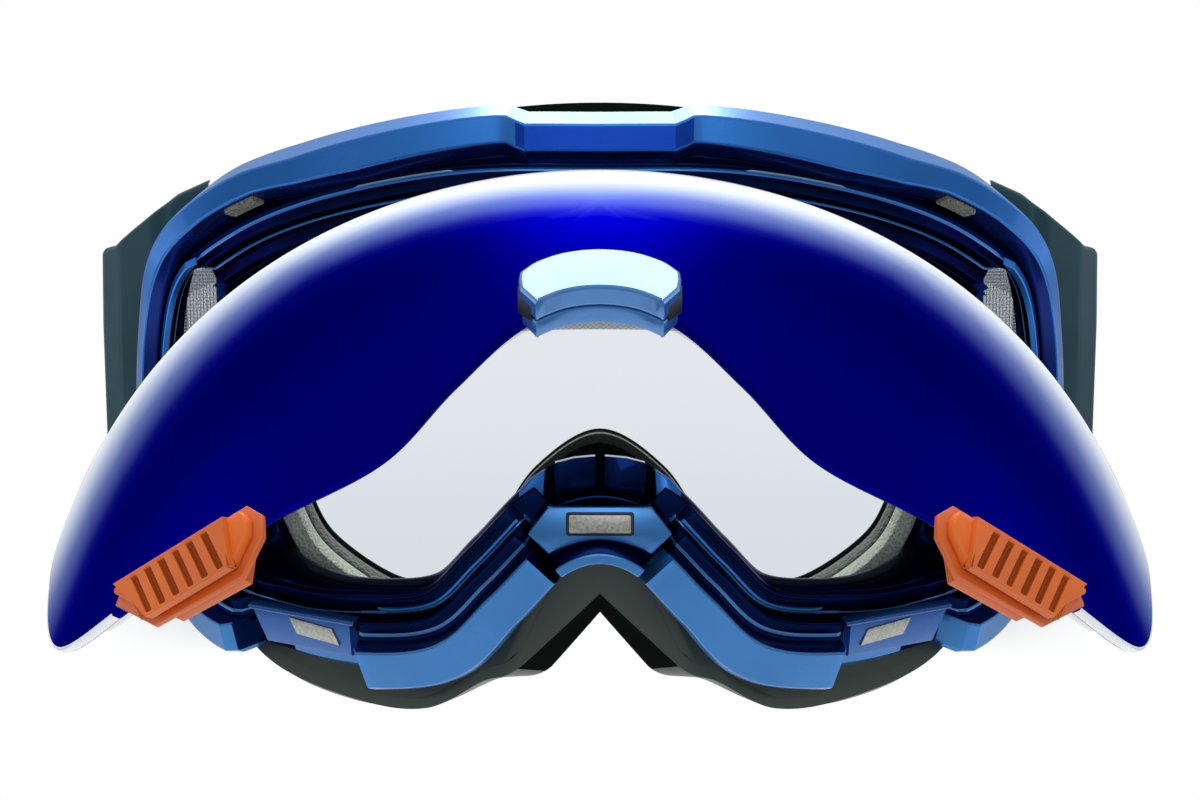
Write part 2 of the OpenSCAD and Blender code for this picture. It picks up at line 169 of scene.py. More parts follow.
class Line:
    """Stations round the lens edge: where each is, and its outward and forward directions."""

    def __init__(self):
        self.q = curve(both(LENS))
        t = unit(np.roll(self.q, -1, 0) - np.roll(self.q, 1, 0))
        self.base = lens_point(self.q)
        self.front = lens_normal(self.q)
        fall = slope(self.q[:, 0]) * t[:, 0] + slope(self.q[:, 1]) * t[:, 1]
        run = unit(np.stack([t[:, 0], fall, t[:, 1]], 1))
        self.out = np.cross(self.front, run)
        self.x, self.z = np.abs(self.q[:, 0]), self.q[:, 1]

    def at(self, o, n):
        """Points o out from the edge and n ahead of the surface, one for each station."""
        o = np.broadcast_to(o, self.x.shape)[:, None]
        n = np.broadcast_to(n, self.x.shape)[:, None]
        return self.base + o * self.out + n * self.front


EDGE = Line()


def stations(side, x0, x1, z0, z1):
    """Numbers of the edge stations on one side of the middle, within limits of |x| and z."""
    x = EDGE.q[:, 0] * side
    return np.nonzero((x > x0) & (x < x1) & (EDGE.z > z0) & (EDGE.z < z1))[0]


FACE_LINE = curve(both(FACE))
EYES_LINE = curve(both(EYES))
SKIN_LINE = curve(both(SKIN))


def opened(p):
    """Turns closed lens-unit points to where they stand at rest."""
    a = math.radians(-LENS_OPEN)
    y, z = p[..., 1] - HINGE[1], p[..., 2] - HINGE[2]
    return np.stack([p[..., 0], HINGE[1] + y * math.cos(a) - z * math.sin(a),
                     HINGE[2] + y * math.sin(a) + z * math.cos(a)], -1)


def on_lens(p, at):
    """Puts points drawn on the XZ plane onto the lens surface at [x, z], their -Y to the front."""
    at = np.array(at, float)
    u = unit(np.array([1, slope(at[0]), 0]))
    b = -lens_normal(at)
    w = np.cross(u, b)
    return lens_point(at) + p[..., :1] * u + p[..., 1:2] * b + p[..., 2:] * w


def sided(p, side):
    """Points made for the left (1), moved to the right when side is -1."""
    return p * np.array([side, 1, 1])


# ---- meshes
def quads(n, m, steps, sides):
    """Faces of a grid of n sections of m points: so many steps along, so many sides round."""
    return [(i * m + j, (i + 1) % n * m + j, (i + 1) % n * m + (j + 1) % m, i * m + (j + 1) % m)
            for i in range(steps) for j in range(sides)]


class Shape:
    """Collects points and faces, each face with the number of its material."""

    def __init__(self):
        self.points, self.faces, self.marks = [], [], []

    def add(self, points, faces, mark=0):
        k = sum(len(p) for p in self.points)
        self.points.append(np.reshape(points, (-1, 3)))
        self.faces += [tuple(i + k for i in f) for f in faces]
        self.marks += [mark] * len(faces) if np.isscalar(mark) else list(mark)
        return self

    def ring(self, secs, mark=0):
        """A closed ring through closed sections; mark may be a number for each section corner."""
        n, m = secs.shape[:2]
        return self.add(secs, quads(n, m, n, m), mark if np.isscalar(mark) else np.reshape(mark, -1))

    def bar(self, secs, mark=0):
        """A bar through closed sections, with closed ends."""
        n, m = secs.shape[:2]
        ends = [tuple(range(m)), tuple(range((n - 1) * m, n * m))]
        return self.add(secs, quads(n, m, n - 1, m) + ends, mark)

    def plate(self, outline, y0, y1, bevel, place=None, mark=0):
        """A plate of an [x, z] outline between two depths, its front and back edges rounded."""
        p = np.array(outline, float)
        if np.sum(p[:, 0] * np.roll(p[:, 1], -1) - p[:, 1] * np.roll(p[:, 0], -1)) > 0:
            p = p[::-1]
        rings = []
        for y, inset in ((y0, bevel), (y0 + bevel * 0.3, bevel * 0.3), (y0 + bevel, 0),
                         (y1 - bevel, 0), (y1 - bevel * 0.3, bevel * 0.3), (y1, bevel)):
            g = grown(p, -inset) if inset else p
            rings.append(np.stack([g[:, 0], np.full(len(g), y), g[:, 1]], 1))
        secs = np.array(rings)
        return self.bar(place(secs) if place else secs, mark)

    def prism(self, outline, low, high, r, axis=2, mark=0):
        """A straight bar along an axis, its outline in the other two, its long edges rounded."""
        ends = [np.insert(np.array(outline, float), axis, v, 1) for v in (low, high)]
        return self.bar(fillet(np.array(ends), r), mark)

    def thread(self, path, a, b):
        """A thin four-sided thread along a path, its corners at a, b, -a and -b from it."""
        return self.bar(np.stack([path + k * np.array(v) for k in (1, -1) for v in (a, b)], 1))

    def rail(self, index, corners, r, mark=0):
        """A bar along stations of the lens edge; corners are (outward, forward) pairs."""
        rows = [EDGE.at(o, n)[index] for o, n in corners]
        return self.bar(fillet(np.stack(rows, 1), r), mark)

    def to_side(self, side):
        """Moves all the points to the left (1) or the right (-1)."""
        self.points = [sided(p, side) for p in self.points]
        return self

    def solid(self, outer, inner, keep, mark):
        """A wall between two grids of points, closed one way, without the cells keep rules out."""
        n, m = outer.shape[:2]
        a = np.arange(n * m).reshape(n, m)
        b = a + n * m
        faces, marks, edges = [], [], {}
        for i in range(n):
            for j in range(m - 1):
                if not keep[i, j]:
                    continue
                c = [(i, j), ((i + 1) % n, j), ((i + 1) % n, j + 1), (i, j + 1)]
                faces += [tuple(a[k] for k in c), tuple(b[k] for k in reversed(c))]
                marks += [mark[i, j]] * 2
                for k in range(4):
                    pair = (c[k], c[(k + 1) % 4])
                    if edges.pop(pair[::-1], None) is None:
                        edges[pair] = True
        faces += [(a[q], a[p], b[p], b[q]) for p, q in edges]
        marks += [0] * len(edges)
        return self.add(np.concatenate([outer.reshape(-1, 3), inner.reshape(-1, 3)]), faces, marks)


def fillet(secs, r):
    """Rounds the corners of closed sections over a distance r."""
    a, b = np.roll(secs, 1, 1) - secs, np.roll(secs, -1, 1) - secs
    la, lb = (np.linalg.norm(v, axis=-1, keepdims=True) + 1e-9 for v in (a, b))
    d = np.minimum(r, 0.45 * np.minimum(la, lb))
    p, q = secs + a / la * d, secs + b / lb * d
    mid = 0.5 * secs + 0.25 * (p + q)
    n, m = secs.shape[:2]
    return np.stack([p, mid, q], 2).reshape(n, m * 3, 3)


def piece(name, shape, materials, replaces=(), body="frame", angle=32):
    """Makes the object of a shape from its materials' names, shades it, and hangs it on its body."""
    mesh = bpy.data.meshes.new(name)
    points = np.concatenate(shape.points) * MM
    mesh.from_pydata(points.tolist(), [], shape.faces)
    for key in materials.split():
        mesh.materials.append(M[key])
    mesh.polygons.foreach_set("material_index", np.array(shape.marks, np.int32))
    bm = bmesh.new()
    bm.from_mesh(mesh)
    bmesh.ops.delete(bm, geom=[v for v in bm.verts if not v.link_faces], context="VERTS")
    bmesh.ops.remove_doubles(bm, verts=bm.verts, dist=1e-6)
    bmesh.ops.recalc_face_normals(bm, faces=bm.faces)
    bm.to_mesh(mesh)
    bm.free()
    mesh.polygons.foreach_set("use_smooth", np.ones(len(mesh.polygons), bool))
    mesh.set_sharp_from_angle(angle=math.radians(angle))
    return hang(placed(name, mesh), body, replaces)


def placed(name, data):
    """A new object of some mesh, camera or light data, in the scene."""
    obj = bpy.data.objects.new(name, data)
    bpy.context.scene.collection.objects.link(obj)
    return obj


def hang(obj, body, replaces=()):
    """Hangs an object on its body, with the CAD nodes it stands for."""
    if body:
        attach(obj, body)
    if replaces:
        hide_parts(*replaces)
    return obj


# ---- materials
M = {}              # each material by its name


class Nodes:
    """Short ways to add and join the shader nodes of a new material or world, kept in M."""

    def __init__(self, name, kind="materials", shader="Principled BSDF"):
        self.made = M[name] = getattr(bpy.data, kind).new(name)
        self.made.use_nodes = True
        self.tree = self.made.node_tree
        self.shader = self.tree.nodes[shader]
        self.coord = self.tree.nodes.new("ShaderNodeTexCoord")

    def new(self, kind, inputs=None, **settings):
        node = self.tree.nodes.new("ShaderNode" + kind)
        for key, value in settings.items():
            setattr(node, key, value)
        for key, value in (inputs or {}).items():
            if isinstance(value, bpy.types.NodeSocket):
                self.tree.links.new(value, node.inputs[key])
            else:
                node.inputs[key].default_value = value
        return node

    def link(self, source, socket):
        self.tree.links.new(source, self.shader.inputs[socket])

    def set(self, **values):
        for key, value in values.items():
            self.shader.inputs[key.replace("_", " ")].default_value = value

    def axes(self, space):
        """The X, Y and Z sockets of a kind of coordinates."""
        return self.new("SeparateXYZ", {"Vector": self.coord.outputs[space]}).outputs

    def noise(self, scale, detail=2.0):
        return self.new("TexNoise", {"Vector": self.coord.outputs["Object"], "Scale": scale,
                                     "Detail": detail}).outputs["Fac"]

    def math(self, op, a, b=0.0):
        return self.new("Math", {0: a, 1: b}, operation=op).outputs[0]

    def range(self, value, a, b, c, d, kind="LINEAR"):
        return self.new("MapRange", {"Value": value, "From Min": a, "From Max": b, "To Min": c,
                                     "To Max": d}, interpolation_type=kind).outputs["Result"]

    def mix(self, factor, a, b):
        """Colour a where factor is 0, b where it is 1."""
        return self.new("Mix", {"Factor": factor, 6: a, 7: b}, data_type="RGBA").outputs[2]

    def colours(self, value, *stops):
        """A colour ramp of (place, (r, g, b)) stops."""
        node = self.new("ValToRGB", {"Fac": value})
        e = node.color_ramp.elements
        e[0].position, e[0].color = stops[0][0], (*stops[0][1], 1)
        e[1].position, e[1].color = stops[-1][0], (*stops[-1][1], 1)
        for place, colour in stops[1:-1]:
            e.new(place).color = (*colour, 1)
        return node.outputs["Color"]

    def bump(self, height, distance):
        """Relief from a height, distance mm deep."""
        node = self.new("Bump", {"Height": height, "Distance": distance * MM, "Strength": 1.0})
        self.link(node.outputs["Normal"], "Normal")


def scaled(colour, k):
    """A colour k times as bright."""
    return tuple(min(1.0, c * k) for c in colour)


def moulded(name, colour, rough, metallic=0.0, coat=0.0, texture=0.004, edge_highlight=1.25, gloss=0.5,
            glance=(1.0, 1.0, 1.0)):
    """Moulded plastic: slight mottle, fine surface texture, and edges lightened as a painted highlight."""
    n = Nodes(name)
    n.set(Metallic=metallic, Coat_Weight=coat, Coat_Roughness=0.06, Specular_IOR_Level=gloss,
          Specular_Tint=(*glance, 1.0))
    mottle = n.colours(n.noise(90, 4), (0.3, scaled(colour, 0.92)), (0.7, scaled(colour, 1.08)))
    # painted highlight: where pointiness finds an edge, the colour is lightened by the given factor
    edge = n.range(n.new("NewGeometry").outputs["Pointiness"], 0.51, 0.56, 0, 1)
    n.link(n.mix(edge, mottle, (*scaled(colour, edge_highlight), 1)), "Base Color")
    n.link(n.range(n.noise(60, 3), 0.3, 0.7, rough * 0.85, rough * 1.2), "Roughness")
    n.bump(n.noise(2600, 2), texture)


def foam(name, dark, light, pores, depth):
    """Open-cell foam: pores in the surface and a speckle of lighter cell walls."""
    n = Nodes(name)
    n.set(Metallic=0.0, Sheen_Weight=0.25, Sheen_Roughness=0.6, Roughness=0.95)
    cell = n.new("TexVoronoi", {"Vector": n.coord.outputs["Object"], "Scale": pores}).outputs["Distance"]
    grain = n.math("ADD", n.math("MULTIPLY", cell, 0.7), n.math("MULTIPLY", n.noise(pores * 1.7, 2), 0.5))
    n.link(n.colours(grain, (0.25, dark), (0.8, light)), "Base Color")
    n.bump(cell, depth)


def metal(name, colour, rough, speckle=0.0, brushed=None):
    """Nickel or steel, with a fine speckle or with turning marks across brushed = (x, y, z)."""
    n = Nodes(name)
    n.set(Metallic=1.0)
    vector = n.coord.outputs["Object"]
    if brushed:
        vector = n.new("Mapping", {"Vector": vector, "Scale": brushed}).outputs["Vector"]
    grain = n.new("TexNoise", {"Vector": vector, "Scale": 1800.0, "Detail": 3.0}).outputs["Fac"]
    n.link(n.colours(grain, (0.35, scaled(colour, 1 - speckle)), (0.65, scaled(colour, 1 + speckle))),
           "Base Color")
    n.link(n.range(grain, 0.3, 0.7, rough * 0.8, rough * 1.25), "Roughness")
    n.bump(grain, 0.01)


def webbing(name, base, stripe):
    """Woven elastic: a close over-under weave, with two dark stripes woven along it."""
    n = Nodes(name)
    n.set(Sheen_Weight=0.3, Sheen_Roughness=0.5, Roughness=0.85)
    along, across = n.axes("UV")[0:2]
    warp_pitch, weft_pitch, stripe_at, stripe_half = 1.1 * MM, 1.6 * MM, 12.5 * MM, 2.2 * MM
    warp = n.math("SINE", n.math("MULTIPLY", across, 2 * math.pi / warp_pitch))
    weft = n.math("SINE", n.math("MULTIPLY", along, 2 * math.pi / weft_pitch))
    weave = n.math("MULTIPLY", warp, weft)
    offset = n.math("ABSOLUTE", n.math("SUBTRACT", across, WEB_W / 2 * MM))
    in_stripe = n.math("COMPARE", n.math("ABSOLUTE", n.math("SUBTRACT", offset, stripe_at)), 0.0)
    in_stripe.node.inputs[2].default_value = stripe_half
    tone = n.range(weave, -1, 1, 0, 1)
    ground = n.colours(tone, (0.0, scaled(base, 0.62)), (1.0, base))
    striped = n.colours(tone, (0.0, scaled(stripe, 0.5)), (1.0, stripe))
    n.link(n.mix(in_stripe, ground, striped), "Base Color")
    n.bump(weave, 0.12)


def fleece(name, colour):
    """Brushed fleece: short tangled pile."""
    n = Nodes(name)
    n.set(Sheen_Weight=0.02, Sheen_Roughness=0.5, Specular_IOR_Level=0.0, Roughness=1.0)
    pile = n.noise(1400, 6)
    n.link(n.colours(pile, (0.3, scaled(colour, 0.5)), (0.75, scaled(colour, 2.2))), "Base Color")
    n.bump(pile, 0.35)


def mirror_coat(name):
    """Blue mirror: deep blue face on, paling to white where it turns away, sooner near the brow: a painted
    reflection, the metal giving way to white paint as it pales.
    """
    n = Nodes(name)
    n.set(Specular_IOR_Level=0.1, Specular_Tint=(0.0, 0.0, 0.3, 1.0))
    facing = n.new("LayerWeight", {"Blend": 0.5}).outputs["Facing"]
    painted_glare = n.math("ADD", facing, n.range(n.noise(14, 2), 0.3, 0.7, -0.012, 0.012))
    # painted highlight: higher up, towards the brow, the pane pales sooner
    painted_glare = n.math("ADD", painted_glare, n.range(n.axes("Object")["Z"], 0.026, 0.040, 0.0, 0.08))
    n.link(n.colours(painted_glare, (0.0, (0.002, 0.0, 0.21)), (0.36, (0.002, 0.0, 0.20)),
                     (0.52, (0.0, 0.0, 0.19)), (0.61, (0.0, 0.0, 0.23)), (0.685, (0.008, 0.016, 0.34)),
                     (0.775, (0.18, 0.25, 0.58)), (0.87, (0.60, 0.68, 0.83)),
                     (0.95, (0.9, 0.93, 0.97))), "Base Color")
    n.link(n.range(painted_glare, 0.66, 0.9, 1.0, 0.05), "Metallic")
    n.link(n.range(painted_glare, 0.6, 0.9, 0.38, 0.6), "Roughness")
    n.bump(n.noise(500, 2), 0.0006)


def clear_pane(name):
    """Thin clear plastic with a faint blue tint."""
    n = Nodes(name)
    n.set(Metallic=0.0, IOR=1.49, Alpha=0.22, Coat_Weight=0.4, Coat_Roughness=0.03)
    n.link(n.colours(n.noise(40, 2), (0.3, (0.75, 0.82, 0.9)), (0.7, (0.85, 0.9, 0.95))), "Base Color")
    n.link(n.range(n.noise(300, 2), 0.3, 0.7, 0.04, 0.1), "Roughness")


moulded("blue", (0.020, 0.160, 0.53), 0.30, metallic=0.8, coat=0.18)
# painted light: a lighter copy of the rim blue, for the bevel strip where light catches it
moulded("bevel", (0.052, 0.24, 0.66), 0.30, metallic=0.7, coat=0.1)
# painted light: a paler, greyer copy of the rim blue, for the light on the lower rim and the bridge plate
moulded("low", (0.036, 0.172, 0.44), 0.30, metallic=0.75, coat=0.18)
moulded("seat", (0.015, 0.078, 0.27), 0.28, metallic=0.75, coat=0.18)
moulded("brow", (0.003, 0.045, 0.36), 0.26, metallic=0.85)
moulded("clip", (0.05, 0.185, 0.46), 0.25, metallic=0.55, coat=0.6)
# painted highlight: pale grey-blue for the ledge strips under the top bar
moulded("pale", (0.16, 0.27, 0.36), 0.35, metallic=0.4, gloss=0.3)
moulded("deep", (0.003, 0.022, 0.20), 0.25, metallic=0.8, coat=0.1)
moulded("chassis", (0.034, 0.047, 0.039), 0.42, texture=0.008, edge_highlight=1.5, gloss=0.3)
# painted highlight: near-white, for thin lines on the nose-wall lips and the lower lens border
moulded("edge", (0.86, 0.91, 0.95), 0.2, coat=0.5, texture=0.0, edge_highlight=1.0)
moulded("navy", (0.0010, 0.0050, 0.032), 0.16, metallic=0.92, texture=0.001, edge_highlight=2.2,
         gloss=0.2, glance=(0.12, 0.18, 0.32))
# painted shade: near-black without gloss, for the nose of the shell and the wall behind the bridge
moulded("nose_dark", (0.0003, 0.0014, 0.006), 0.8, gloss=0.0)
moulded("shade", (0.006, 0.0075, 0.0065), 0.8, gloss=0.0)
moulded("outrigger", (0.022, 0.054, 0.068), 0.38, metallic=0.3, texture=0.006,
         edge_highlight=1.5, gloss=0.15, glance=(0.5, 0.85, 1.0))
moulded("buckle", (0.012, 0.013, 0.015), 0.4, texture=0.01, edge_highlight=2.0)
moulded("orange", (0.66, 0.135, 0.018), 0.42, texture=0.01, edge_highlight=1.15, gloss=0.3)
# painted shade: darker orange for the floors of the tab slots
moulded("orange_deep", (0.34, 0.065, 0.009), 0.6, texture=0.01, gloss=0.1)
moulded("orange_back", (0.58, 0.11, 0.015), 0.45, texture=0.01, edge_highlight=1.1)
moulded("gasket", (0.004, 0.004, 0.006), 0.5, texture=0.02, edge_highlight=1.5)
metal("magnet", (0.40, 0.41, 0.37), 0.42, speckle=0.22)
metal("steel", (0.55, 0.55, 0.57), 0.25, speckle=0.06, brushed=(1, 1, 14))
metal("mesh", (0.80, 0.84, 0.85), 0.5, speckle=0.05)
foam("vent_foam", (0.012, 0.014, 0.013), (0.19, 0.20, 0.15), 2100, 0.5)
foam("foam_base", (0.20, 0.25, 0.20), (0.52, 0.59, 0.50), 1900, 0.22)
foam("foam_mid", (0.035, 0.045, 0.038), (0.14, 0.16, 0.14), 1500, 0.3)
fleece("fleece", (0.005, 0.0065, 0.006))
webbing("webbing", (0.48, 0.52, 0.55), (0.02, 0.05, 0.15))
mirror_coat("mirror")
clear_pane("clear")


# ---- frame
TAB = band(EDGE.x, 43, 65.5, 1.1) * (EDGE.z < -25)
NOSE = (1 - ramp(EDGE.x, 11.4, 12.6)) * (EDGE.z < -5)
NOSE_PANEL = (1 - ramp(EDGE.x, 7.6, 8.6)) * (EDGE.z < -5)
NOSE_SLOT = band(EDGE.x, 11.5, 12.1, 0.3) * (EDGE.z < -5)
UPPER = EDGE.z > 5
TOP = ramp(EDGE.z, 20, 27)
SIDE_VENT = band(EDGE.z, VENT_Z[0] + 1, VENT_Z[1], 2.5) * (EDGE.x > 60)
SHELL_START = 5.5 - 4.3 * NOSE_PANEL
FLANGE = SHELL_START - 10.7 * SIDE_VENT
FLANGE_D = 6.2 + 1.1 * NOSE + 0.4 * SIDE_VENT


def by_x(upper, lower):
    """A value for each station from (|x|, value) pairs, one list above the temples and one below."""
    return np.where(UPPER, np.interp(EDGE.x, *zip(*upper)), np.interp(EDGE.x, *zip(*lower)))


def front_frame():
    """The blue rim: front face and bevel, stepped seat for the lens, channel and ridges."""
    inner = by_x([(0, 1.0), (12.2, 1.0), (15.2, 2.6), (27, 1.9), (40, 1.2), (50, 1.6), (58, 2.8),
                   (68, 2.8), (76, 2.0), (80, 1.3)],
                 [(0, 5.8), (11.5, 5.8), (12.2, 1.4), (80, 1.3)])
    face_out = by_x([(0, 4.8), (12.2, 4.8), (15.2, 6.5), (50, 5.2), (58, 6.0), (68, 6.0), (80, 4.9)],
                    [(0, 7.6), (12, 7.4), (20, 7.6), (30, 8.3), (42, 8.5), (52, 7.6), (70, 6.6), (80, 4.9)])
    width = by_x([(0, 9.1), (12.2, 9.1), (15.2, 10.4), (50, 9.7), (60, 10.0), (68, 10.0), (74, 9.2),
                  (79, 7.9), (82, 7.2)],
                 [(0, 8.1), (12, 7.9), (20, 8.4), (30, 9.7), (42, 10.3), (52, 9.0), (70, 7.6), (80, 7.6)])
    lip = 0.8 - 6.4 * TAB - 4.6 * NOSE_SLOT
    seat_d = 2.8 + 1.1 * TOP * (1 - NOSE) + 2.8 * TAB + 4.5 * NOSE
    seat_d = np.maximum(seat_d, -lip + 0.2)
    groove = 0.45 * (1 - TAB) * (1 - NOSE)
    bevel = np.minimum(lip, 0) - 1.1 - 1.3 * ramp(EDGE.x, 60, 76) * (EDGE.z > -20)
    wall = np.full_like(width, RIM_W + 0.2)
    crest = lip + 1.9 * ramp(EDGE.z, 10, 34)
    corners = [(inner, lip), (face_out, crest), (width, bevel), (wall, -RIM_D), (-FLANGE, -RIM_D),
               (-FLANGE, -FLANGE_D),
               (-2.2 + 2.0 * NOSE_PANEL + 1.6 * SIDE_VENT, -FLANGE_D + 2.2 * SIDE_VENT),
               (-2.2 + 2.0 * NOSE_PANEL + 1.0 * SIDE_VENT, -seat_d), (0.1 + 0 * inner, -seat_d),
               (0.1 + groove, -seat_d + groove * 1.4), (inner - 0.15, -seat_d + groove * 1.4)]
    secs = np.stack([EDGE.at(o, n) for o, n in corners], 1)
    # flat strips and rounded corners in turn: outside blue, channel navy with blue edge lines, which are
    # painted highlights along those edges
    materials = "blue navy deep brow pale bevel low"
    blue, navy, deep, brow, pale, lit_bevel, low = range(7)
    flat = [blue] * 3 + [navy] * 7 + [deep]
    corner = [blue] * 3 + [navy] * 3 + [blue, navy, blue, navy, navy]
    marks = np.tile([m for f, c in zip(flat, corner) for m in (c, c, f)], (len(EDGE.x), 1))
    marks[(EDGE.x < 14) & (EDGE.z > 30), 2] = brow
    # painted light: the bevel strip above the temples takes the lighter copy of the blue
    marks[(EDGE.x > 13) & UPPER, 5] = lit_bevel
    # painted light: blue faces below the eyes take the paler copy of the blue
    marks[(marks == blue) & (EDGE.z < -12)[:, None]] = low
    marks[(TAB > 0.5) & (EDGE.x > 58), :5] = navy
    marks[NOSE_SLOT > 0.4, :6] = navy
    shape = Shape().ring(fillet(secs, 0.32), marks)
    # thin ridges along the channel behind the seat, pale ledge strips under the top bar as painted
    # highlights, temple ridges:
    # place outward, half width, place forward, height, limits of |x|, limits of z, mark
    below, above = (-FAR, -14), (24, FAR)
    for side in (1, -1):
        for o, w, n, h, xs, zs, mark in (
                (-3.0, 0.3, -6.25, 0.7, (12, 40), below, blue),
                (-4.5, 0.25, -6.25, 0.45, (14, 39), below, navy),
                (1.9, 0.4, -3.9, 0.6, (15.6, 21.6), above, pale),
                (0.7, 0.45, -3.9, 0.5, (21.4, 45), above, pale),
                (-0.6, 0.7, -3.0, 0.9, (60, FAR), (-30, 26), blue)):
            add_rib(shape, stations(side, *xs, *zs), o, w, n, h, mark)
    piece("front_rim", shape, materials, ["front_frame"], angle=12)


def add_rib(shape, index, o, w, n, h, mark):
    """A low ridge on the rim along the stations index, its ends sloping down."""
    gap = np.nonzero(np.diff(index) > 1)[0]
    if len(gap):
        index = np.concatenate([index[gap[0] + 1:], index[:gap[0] + 1]])
    k = np.arange(len(index))
    crest = np.zeros(len(EDGE.x))
    crest[index] = n + h * ramp(np.minimum(k, len(index) - 1 - k), 0, 2)
    shape.rail(index, ((o + w, n - 0.3), (o + w, crest), (o - w, crest), (o - w, n - 0.3)), 0.2, mark)


CREASE = [(0, 51.7), (24, 49.5), (48, 42.5), (63, 34), (73, 22), (76, 0), (75, -20), (69, -37.5),
          (59, -46.9), (42.3, -51.5), (30.2, -51), (19.8, -44.6), (13.1, -41.1), (0, -28.6)]
NOTCH = [(0, 51.6), (24, 49.5), (47, 42.6), (62, 33.6), (71, 20), (73, 0), (73, -19), (68.5, -37.8),
         (58.5, -49), (42.2, -53.4), (29, -51.8), (17.5, -45.6), (8.7, -43), (0, -33)]


def v_shaped(line, x_max):
    """Straightens the nose of an outline into a V out to x_max."""
    low = (np.abs(line[:, 0]) < x_max) & (line[:, 1] < -10)
    x, z = np.abs(line[low, 0]), line[low, 1]
    out = line.copy()
    out[low, 1] = np.interp(x, [0, x.max()], [z[x.argmin()], z[x.argmax()]])
    return out


def back_frame():
    """Dark chassis from the rim back to the foam: a crease close behind the rim, a V at the nose."""
    crease = v_shaped(curve(both(CREASE)), 12.8)
    notch = v_shaped(curve(both(NOTCH)), 8.6)
    face = v_shaped(FACE_LINE, 8.6)
    start = EDGE.at(6.4, -RIM_D - 0.2)
    end = face_point(face, FOAM_DEPTH + 0.2)
    gap = end[:, 1] - start[:, 1]
    first = np.stack([crease[:, 0], start[:, 1] + np.minimum(2.6, 0.3 * gap), crease[:, 1]], 1)
    second = np.stack([notch[:, 0], start[:, 1] + np.minimum(8.0, 0.6 * gap), notch[:, 1]], 1)
    away = np.stack([outward(FACE_LINE)[:, 0], 0 * EDGE.x, outward(FACE_LINE)[:, 1]], 1)
    rows = []
    for a, b, n in ((start, first, 3), (first, second, 4), (second, end, 6)):
        rows += [a + (b - a) * t for t in np.arange(n) / n]
    rows.append(end)
    outer = np.stack(rows, 1)
    inner = outer - 2.2 * away[:, None, :]
    inner[:, 0] = start - 1.6 * EDGE.out
    cx, cz = np.abs(outer[..., 0]), outer[..., 2]
    hole = (cx > VENT_X[0] - 0.4) & (cx < VENT_X[1] + 1) & (cz > VENT_Z[0]) & (cz < VENT_Z[1])
    along = np.arange(len(rows))
    dark = (np.abs(second[:, :1]) < 9.2) & (second[:, 2:] < -20) & (along >= 3) | (cz > 45) & (cx < 30)
    shape = Shape().solid(outer, inner, ~hole, dark.astype(int) * 2)
    # a dark lip round the temples, between the rim and the outriggers, in gasket black as painted shade of
    # the gap there
    wide = np.interp(EDGE.z, [-27, -18, 10, 25, 33, 37], [7.4, 9.2, 9.9, 11.4, 10.9, 9.6])
    for side in (1, -1):
        shape.rail(stations(side, 55, FAR, -27, 37),
                   ((7.2, -3.4), (wide, -4.0), (wide, -5.6), (7.2, -7.0)), 0.4, 1)
    piece("chassis", shape, "chassis gasket shade", ["back_frame"], angle=24)


def inner_shell():
    """Glossy navy funnel from the rim to the eye opening, with vent windows and moulded ribs."""
    d_start = RIM_D + 0.1
    start = EDGE.at(-SHELL_START + 0.1, -d_start)
    knee = EDGE.at(-SHELL_START - 1.2, -d_start - 9)
    bridge = (1 - ramp(EDGE.x, 9, 13)) * (EDGE.z < -5)
    line = grown(EYES_LINE, 3.4 - 1.4 * bridge)
    end = face_point(line, FOAM_DEPTH + 0.2)
    away = np.stack([outward(EYES_LINE)[:, 0], 0 * EDGE.x, outward(EYES_LINE)[:, 1]], 1)
    inner = np.stack([(1 - t) ** 2 * start + 2 * t * (1 - t) * knee + t * t * end
                      for t in np.linspace(0, 1, 15)], 1)
    outer = inner + 1.8 * away[:, None, :]
    cx, cz = np.abs(inner[..., 0]), inner[..., 2]
    keep = ~((cx > 66.8) & (cz > VENT_Z[0]) & (cz < VENT_Z[1]))
    # painted shade: the cells close round the nose take the near-black nose material
    shape = Shape().solid(outer, inner, keep, ((cx < 11) & (cz < -5)).astype(int))
    for side in (1, -1):
        # a post beside the vent, and seam beads that run back along the funnel at the temple
        shape.prism([(side * x, y) for x, y in ((68.7, 1.0), (70.6, 1.4), (70.6, 2.4), (68.7, 2.4))],
                    *VENT_Z, 0.25, mark=2)
        for z_at in (27.5, 17.0, -8.0):
            pick = stations(side, 40, FAR, z_at - 1.4, z_at + 1.4)
            i = pick[len(pick) // 2]
            path = inner[i, 3:]
            t = unit(inner[(i + 1) % len(inner), 3:] - path)
            lift = unit(np.cross(unit(np.gradient(path, axis=0)), t))
            lift *= np.sign(np.sum(lift * -away[i], 1, keepdims=True))
            rows = [path + a * t + b * lift for a, b in ((0.5, -0.3), (0.5, 0.6), (-0.5, 0.6), (-0.5, -0.3))]
            shape.bar(fillet(np.stack(rows, 1), 0.25))
    piece("inner_shell_visual", shape, "navy nose_dark blue", ["inner_shell"], angle=38)


def nose_bridge():
    """Bridge plate with the recess of its magnet."""
    arch = [(8.4 - 16.8 * t, -20.4 + 2.3 * math.sin(math.pi * t)) for t in np.linspace(0, 1, 13)]
    outline = [(-8.3, -12.7), (8.3, -12.7), (11.6, -17.1)] + arch + [(-11.6, -17.1)]
    shape = Shape().plate(outline, -50.9, -49.35, 0.35, mark=0)
    shape.plate(rounded_box(5.5, 1.95, -15.45, 0.5), -51.0, -50.3, 0.12, mark=1)
    # the plate takes the paler copy of the rim blue, painted light
    piece("nose_bridge", shape, "low gasket", ["nose_plate"])
    face = Shape().plate(rounded_box(5.0, 1.5, -15.45, 0.3), -51.2, -50.4, 0.12)
    piece("nose_magnet_face", face, "magnet", ["nose_magnet"])


